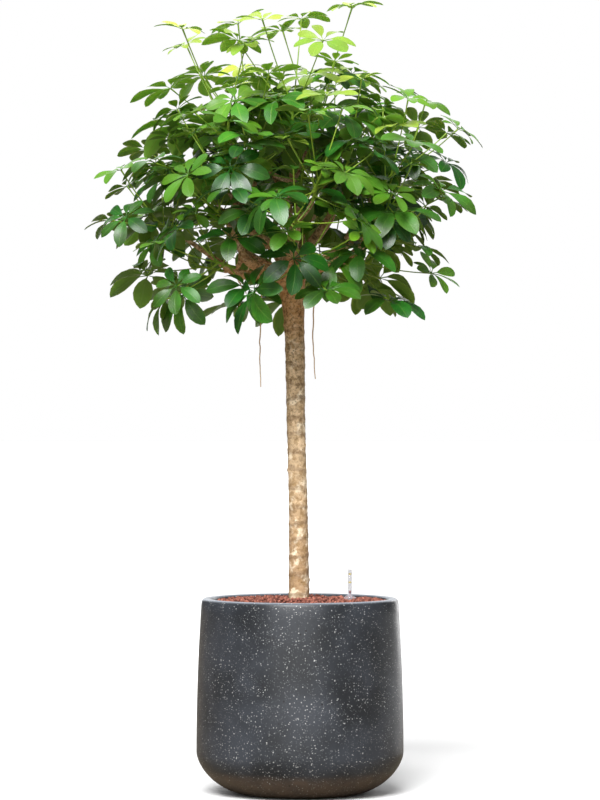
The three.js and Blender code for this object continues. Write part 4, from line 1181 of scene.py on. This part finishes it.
# %% Leaf effect
VEINS_ALONG, VEIN_SLANT = 11.0, 7.0
LEAF_BLADE, take, give = effect_group(
    "leaf_blade", {"Deep": WHITE, "Lit": WHITE, "Fresh": WHITE, "Vein": WHITE, "Below": WHITE},
    ["Color", "Height", "Roughness"])
leaf_map = add(LEAF_BLADE, "ShaderNodeUVMap", uv_map="leaf_map")["UV"]
off_rib = calc("ABSOLUTE", minus(axis(leaf_map, "Y"), 0.5))
midrib = remap(off_rib, 0.018, 0.045, 1.0, 0.0)
slanted = minus(times(axis(leaf_map, "X"), VEINS_ALONG), times(off_rib, VEIN_SLANT))
veins = remap(calc("ABSOLUTE", minus(calc("FRACT", slanted), 0.5)), 0.02, 0.11, 1.0, 0.0)
own_tone, is_under = [add(LEAF_BLADE, "ShaderNodeAttribute", attribute_name=name)["Fac"]
                      for name in ("tone", "under")]
patch = place(LEAF_BLADE, CLOUDY_TONE, Dark=take["Deep"], Light=take["Lit"], Scale=16.0, Spread=0.2)[0]
blade = layered(patch, (own_tone, 1.0, take["Fresh"]), (veins, 0.12, take["Vein"]),
                (midrib, 0.22, take["Vein"]))
below = layered(take["Below"], (midrib, 0.45, take["Vein"]))
wire(blend(is_under, blade, below), give["Color"])
wire(plus(times(veins, -0.4), times(midrib, -0.6)), give["Height"])
wire(remap(is_under, 0.0, 1.0, 0.38, 0.6, smooth=False), give["Roughness"])
print(LEAF_BLADE.name, "has", len(LEAF_BLADE.nodes), "nodes")


# %% Leaf and stalk materials
def leaf_material(name, waxy, glow, **colours):
    made, tree, shader = new_material(
        name, IOR=1.45, Coat_Weight=waxy, Coat_Roughness=0.4, Subsurface_Weight=glow,
        Subsurface_Scale=0.003, Subsurface_Radius=(1.0, 1.0, 0.4))
    surface = place(tree, LEAF_BLADE, **colours)
    wire(surface["Color"], shader["Base Color"])
    wire(surface["Roughness"], shader["Roughness"])
    bump(shader, surface["Height"], 0.5, 0.0006)
    return made


MATURE_LEAF = leaf_material(
    "mature_leaf", 0.3, 0.14, Deep=colour(4, 44, 2), Lit=colour(30, 100, 22), Fresh=colour(112, 166, 32),
    Vein=colour(108, 148, 64), Below=colour(98, 142, 44))
YOUNG_LEAF = leaf_material(
    "young_leaf", 0.2, 0.22, Deep=colour(24, 84, 10), Lit=colour(66, 138, 30), Fresh=colour(194, 218, 80),
    Vein=colour(160, 184, 78), Below=colour(144, 198, 78))
stalk_green, tree, shader = new_material("green_stalk", IOR=1.45)
fresh = place(tree, CLOUDY_TONE, Dark=colour(96, 140, 30), Light=colour(160, 188, 66), Scale=45.0,
              Spread=0.3)[0]
wire(fresh, shader["Base Color"])
bump(shader, roughen(shader, (900.0, 150.0, 0.6), (0.4, 1.2), (0.38, 0.55)), 0.2, 0.0003)
print("leaf finishes:", MATURE_LEAF.name, YOUNG_LEAF.name, stalk_green.name)

# %% [markdown]
# ## Leafy shoots
# Now the plan becomes leaves. For each shoot, one guide mesh holds the leaflets' points and another
# the green stem with its long leaf stalks. A stalk sags a little under its leaf and swells at
# both ends. Each shoot gives two finished pieces, blades and stalks, which stand for its solid.

# %% Leaflet points of a shoot
FEWEST_LEAFLETS, ONE_MORE_CHANCE = 7, 0.45
FRESHNESS, LEVELS_TO_FADE, TONE_SCATTER, LEAFLET_TONE_SCATTER = (1.0, 0.55), 3, (-0.22, 0.26), 0.1
TURN_SCATTER, MIDDLE_SIZE, FRONT_GAIN, SIZE_SCATTER = 0.14, 0.84, 0.16, (0.86, 1.08)
MOST_ROLL, DROOP_SCATTER = 19, (-0.13, 0.17)


def leaflet_rows(shoot, rng):
    """Hub, spoke, face, span, droop and tone of each leaflet of a shoot."""
    rows = []
    for leaf in shoot["leaves"]:
        count = FEWEST_LEAFLETS + int(rng.random() < ONE_MORE_CHANCE)
        freshness = mix(*FRESHNESS, max(0, shoot["level"] - 1) / LEVELS_TO_FADE)
        leaf_tone = np.clip(leaf["age"] ** 3 * freshness + rng.uniform(*TONE_SCATTER), 0, 1)
        beside = np.cross(leaf["face"], leaf["out"])
        for j in range(count):
            turn = 2 * math.pi * (j + rng.uniform(-TURN_SCATTER, TURN_SCATTER)) / count
            size = (MIDDLE_SIZE + FRONT_GAIN * math.cos(turn)) * rng.uniform(*SIZE_SCATTER)
            spoke = leaf["out"] * math.cos(turn) + beside * math.sin(turn)
            roll = math.radians(rng.uniform(-MOST_ROLL, MOST_ROLL))
            face = leaf["face"] * math.cos(roll) + np.cross(leaf["face"], spoke) * math.sin(roll)
            droop = leaf["drop"] + rng.uniform(*DROOP_SCATTER)
            tone = leaf_tone + rng.uniform(-LEAFLET_TONE_SCATTER, LEAFLET_TONE_SCATTER)
            rows.append((leaf["hub"] * MM, spoke, face, leaf["length"] * size * MM, droop,
                         np.clip(tone, 0, 1)))
    return rows


def point_mesh(name, rows):
    hubs, spokes, faces, spans, drops, tones = [np.array(column, float) for column in zip(*rows)]
    mesh = mesh_of(name, hubs)
    for title, values in {"spoke": spokes, "face": faces}.items():
        mark(mesh, title, values.ravel(), "FLOAT_VECTOR")
    for title, values in {"span": spans, "drop": drops, "tone": tones}.items():
        mark(mesh, title, values)
    return new_object(name, mesh)


print("leaflets on a leaf:", FEWEST_LEAFLETS, "or", FEWEST_LEAFLETS + 1)

# %% Stalks of a shoot
SHOOT_RADII, SHOOT_OVER, SHOOT_POINTS = (3.9, 2.4), 1.06, 5
STALK_RADII, STALK_POINTS, ROOT_SWELL, HUB_SWELL = (1.5, 1.15), 8, 1.1, 0.75
STALK_BOW, UNDER_THE_HUB = 0.035, 0.4


def stalk_paths(shoot):
    """The green stem and one bowed stalk for each leaf."""
    shares = np.linspace(0, SHOOT_OVER, SHOOT_POINTS)
    paths = [[(mix(shoot["foot"], shoot["tip"], t), mix(*SHOOT_RADII, t)) for t in shares]]
    for leaf in shoot["leaves"]:
        start, hub = leaf["root"], leaf["hub"] - leaf["face"] * UNDER_THE_HUB
        bow = UP * np.linalg.norm(hub - start) * STALK_BOW
        path = [(mix(start, hub, t) - bow * 4 * t * (1 - t), mix(*STALK_RADII, t))
                for t in np.linspace(0, 1, STALK_POINTS)]
        path[0] = (path[0][0], path[0][1] + ROOT_SWELL)
        path[-1] = (path[-1][0], path[-1][1] + HUB_SWELL)
        paths.append(path)
    return paths


print("stalks on a shoot:", len(stalk_paths(SHOOTS[0])) - 1)

# %% Grow every shoot
LEAF_SEED, YOUNG_LEVELS, EDGE_WAVE, STALK_SIDES = 305, 2, 0.012, 6
leaf_rng = np.random.default_rng(LEAF_SEED)
totals = {"blades": 0, "stalks": 0}
for number, shoot in enumerate(SHOOTS, 1):
    young = shoot["level"] < YOUNG_LEVELS
    leaflets = point_mesh(f"points_{number:02d}", leaflet_rows(shoot, leaf_rng))
    guides = guide_mesh(f"guides_{number:02d}", stalk_paths(shoot))
    grown = {
        "blades": grow(leaflets, WHORLS, Leaflet=LEAFLET, Rise=LEAFLET_RISE, Wave=EDGE_WAVE,
                       Material=YOUNG_LEAF if young else MATURE_LEAF),
        "stalks": grow(guides, ROUND_STEMS, Sides=STALK_SIDES, Material=stalk_green),
    }
    for part, piece in grown.items():
        piece = apply_modifiers(piece, f"shoot_{number:02d}_{part}")
        finish_piece(piece, "plant", f"leafy_shoot_{number:02d}")
        totals[part] += triangle_count(piece)
print("triangles:", totals)

# %% Remove the patterns that were copied
for pattern in [LEAFLET, *PEBBLE_KINDS.objects]:
    bpy.data.objects.remove(pattern)
bpy.data.collections.remove(PEBBLE_KINDS)
print("patterns removed")

# %% [markdown]
# ## Floor and light
# The plant stands on a plain pale floor in a studio. The camera sees floor and world as near
# white. As light, the world is a pale ceiling over dim walls, and the floor throws back a warm dim
# tone with one white card behind on the right, or the sides of the dark planter would wash out.
# Three suns with a wide spread give soft form: one high up, one from the front and a faint one
# from behind. Two tall soft lamps behind draw a pale line down each edge of the planter. Hard
# lamps would throw sharp leaf shadows.

# %% Floor
FLOOR_REACH = 60
floor = new_object("floor", mesh_of("floor", [(x * FLOOR_REACH, y * FLOOR_REACH, 0) for x, y in
                                              ((-1, -1), (1, -1), (1, 1), (-1, 1))], [[0, 1, 2, 3]]))
paper, tree, shader = new_material("pale_floor", Roughness=0.9)
pale = place(tree, CLOUDY_TONE, Dark=colour(240, 240, 240), Light=colour(246, 246, 246), Scale=0.5,
             Spread=0.3)[0]
where = object_place(tree)
on_card = times(remap(axis(where, "X"), 0.4, 0.9), remap(axis(where, "Y"), 0.2, 0.8))
thrown_back = blend(on_card, colour(120, 108, 90), colour(206, 206, 206))
seen = add(tree, "ShaderNodeLightPath")["Is Camera Ray"]
wire(blend(seen, thrown_back, pale), shader["Base Color"])
floor.data.materials.append(paper)
print("floor", 2 * FLOOR_REACH, "metres across")

# %% World
WALL_LIGHT, CEILING_LIGHT = 0.02, 0.4
world = bpy.data.worlds.new("studio")
bpy.context.scene.world = world
world.use_nodes = True
sky = world.node_tree
backdrop = sky.nodes["Background"].inputs
backdrop["Color"].default_value = WHITE
upwards = axis(add(sky, "ShaderNodeTexCoord")["Generated"], "Z")
seen = add(sky, "ShaderNodeLightPath")["Is Camera Ray"]
wire(calc("MAXIMUM", seen, remap(upwards, 0.0, 1.0, WALL_LIGHT, CEILING_LIGHT)), backdrop["Strength"])
print("light from the walls", WALL_LIGHT, "and from the ceiling", CEILING_LIGHT)


# %% Lamps
def lamp(name, kind, direction, power, **settings):
    """A lamp that shines in a direction; its other settings go to its data by their names."""
    data = bpy.data.lights.new(name, kind)
    data.energy = power
    for title, value in settings.items():
        setattr(data, title, value)
    made = bpy.data.objects.new(name, data)
    made.rotation_euler = Vector(direction).to_track_quat("-Z", "Y").to_euler()
    bpy.context.scene.collection.objects.link(made)
    return made


SUNS = {"key": ((0.16, 0.85, -0.9), 34, 5.3), "front": ((0.1, 1.0, -0.2), 60, 1.6),
        "back": ((0.05, -1.0, -0.36), 40, 0.5)}
EDGE_LAMPS = {"edge_right": ((2.3, 5.2, 1.3), 1.4, (1.0, 1.0, 1.0), 40),
              "edge_left": ((-1.3, 5.6, 1.3), 0.4, (0.75, 0.9, 1.0), 8)}
EDGE_LAMP_HEIGHT, AIMED_AT = 3.0, Vector((0, 0, 0.4))
for name, (direction, spread, power) in SUNS.items():
    lamp(name, "SUN", direction, power, angle=math.radians(spread))
for name, (stands_at, width, tone, power) in EDGE_LAMPS.items():
    made = lamp(name, "AREA", AIMED_AT - Vector(stands_at), power, shape="RECTANGLE", size=width,
                size_y=EDGE_LAMP_HEIGHT, color=tone)
    made.location = stands_at
    made.visible_camera = False
print(len(SUNS), "soft suns and", len(EDGE_LAMPS), "edge lamps")
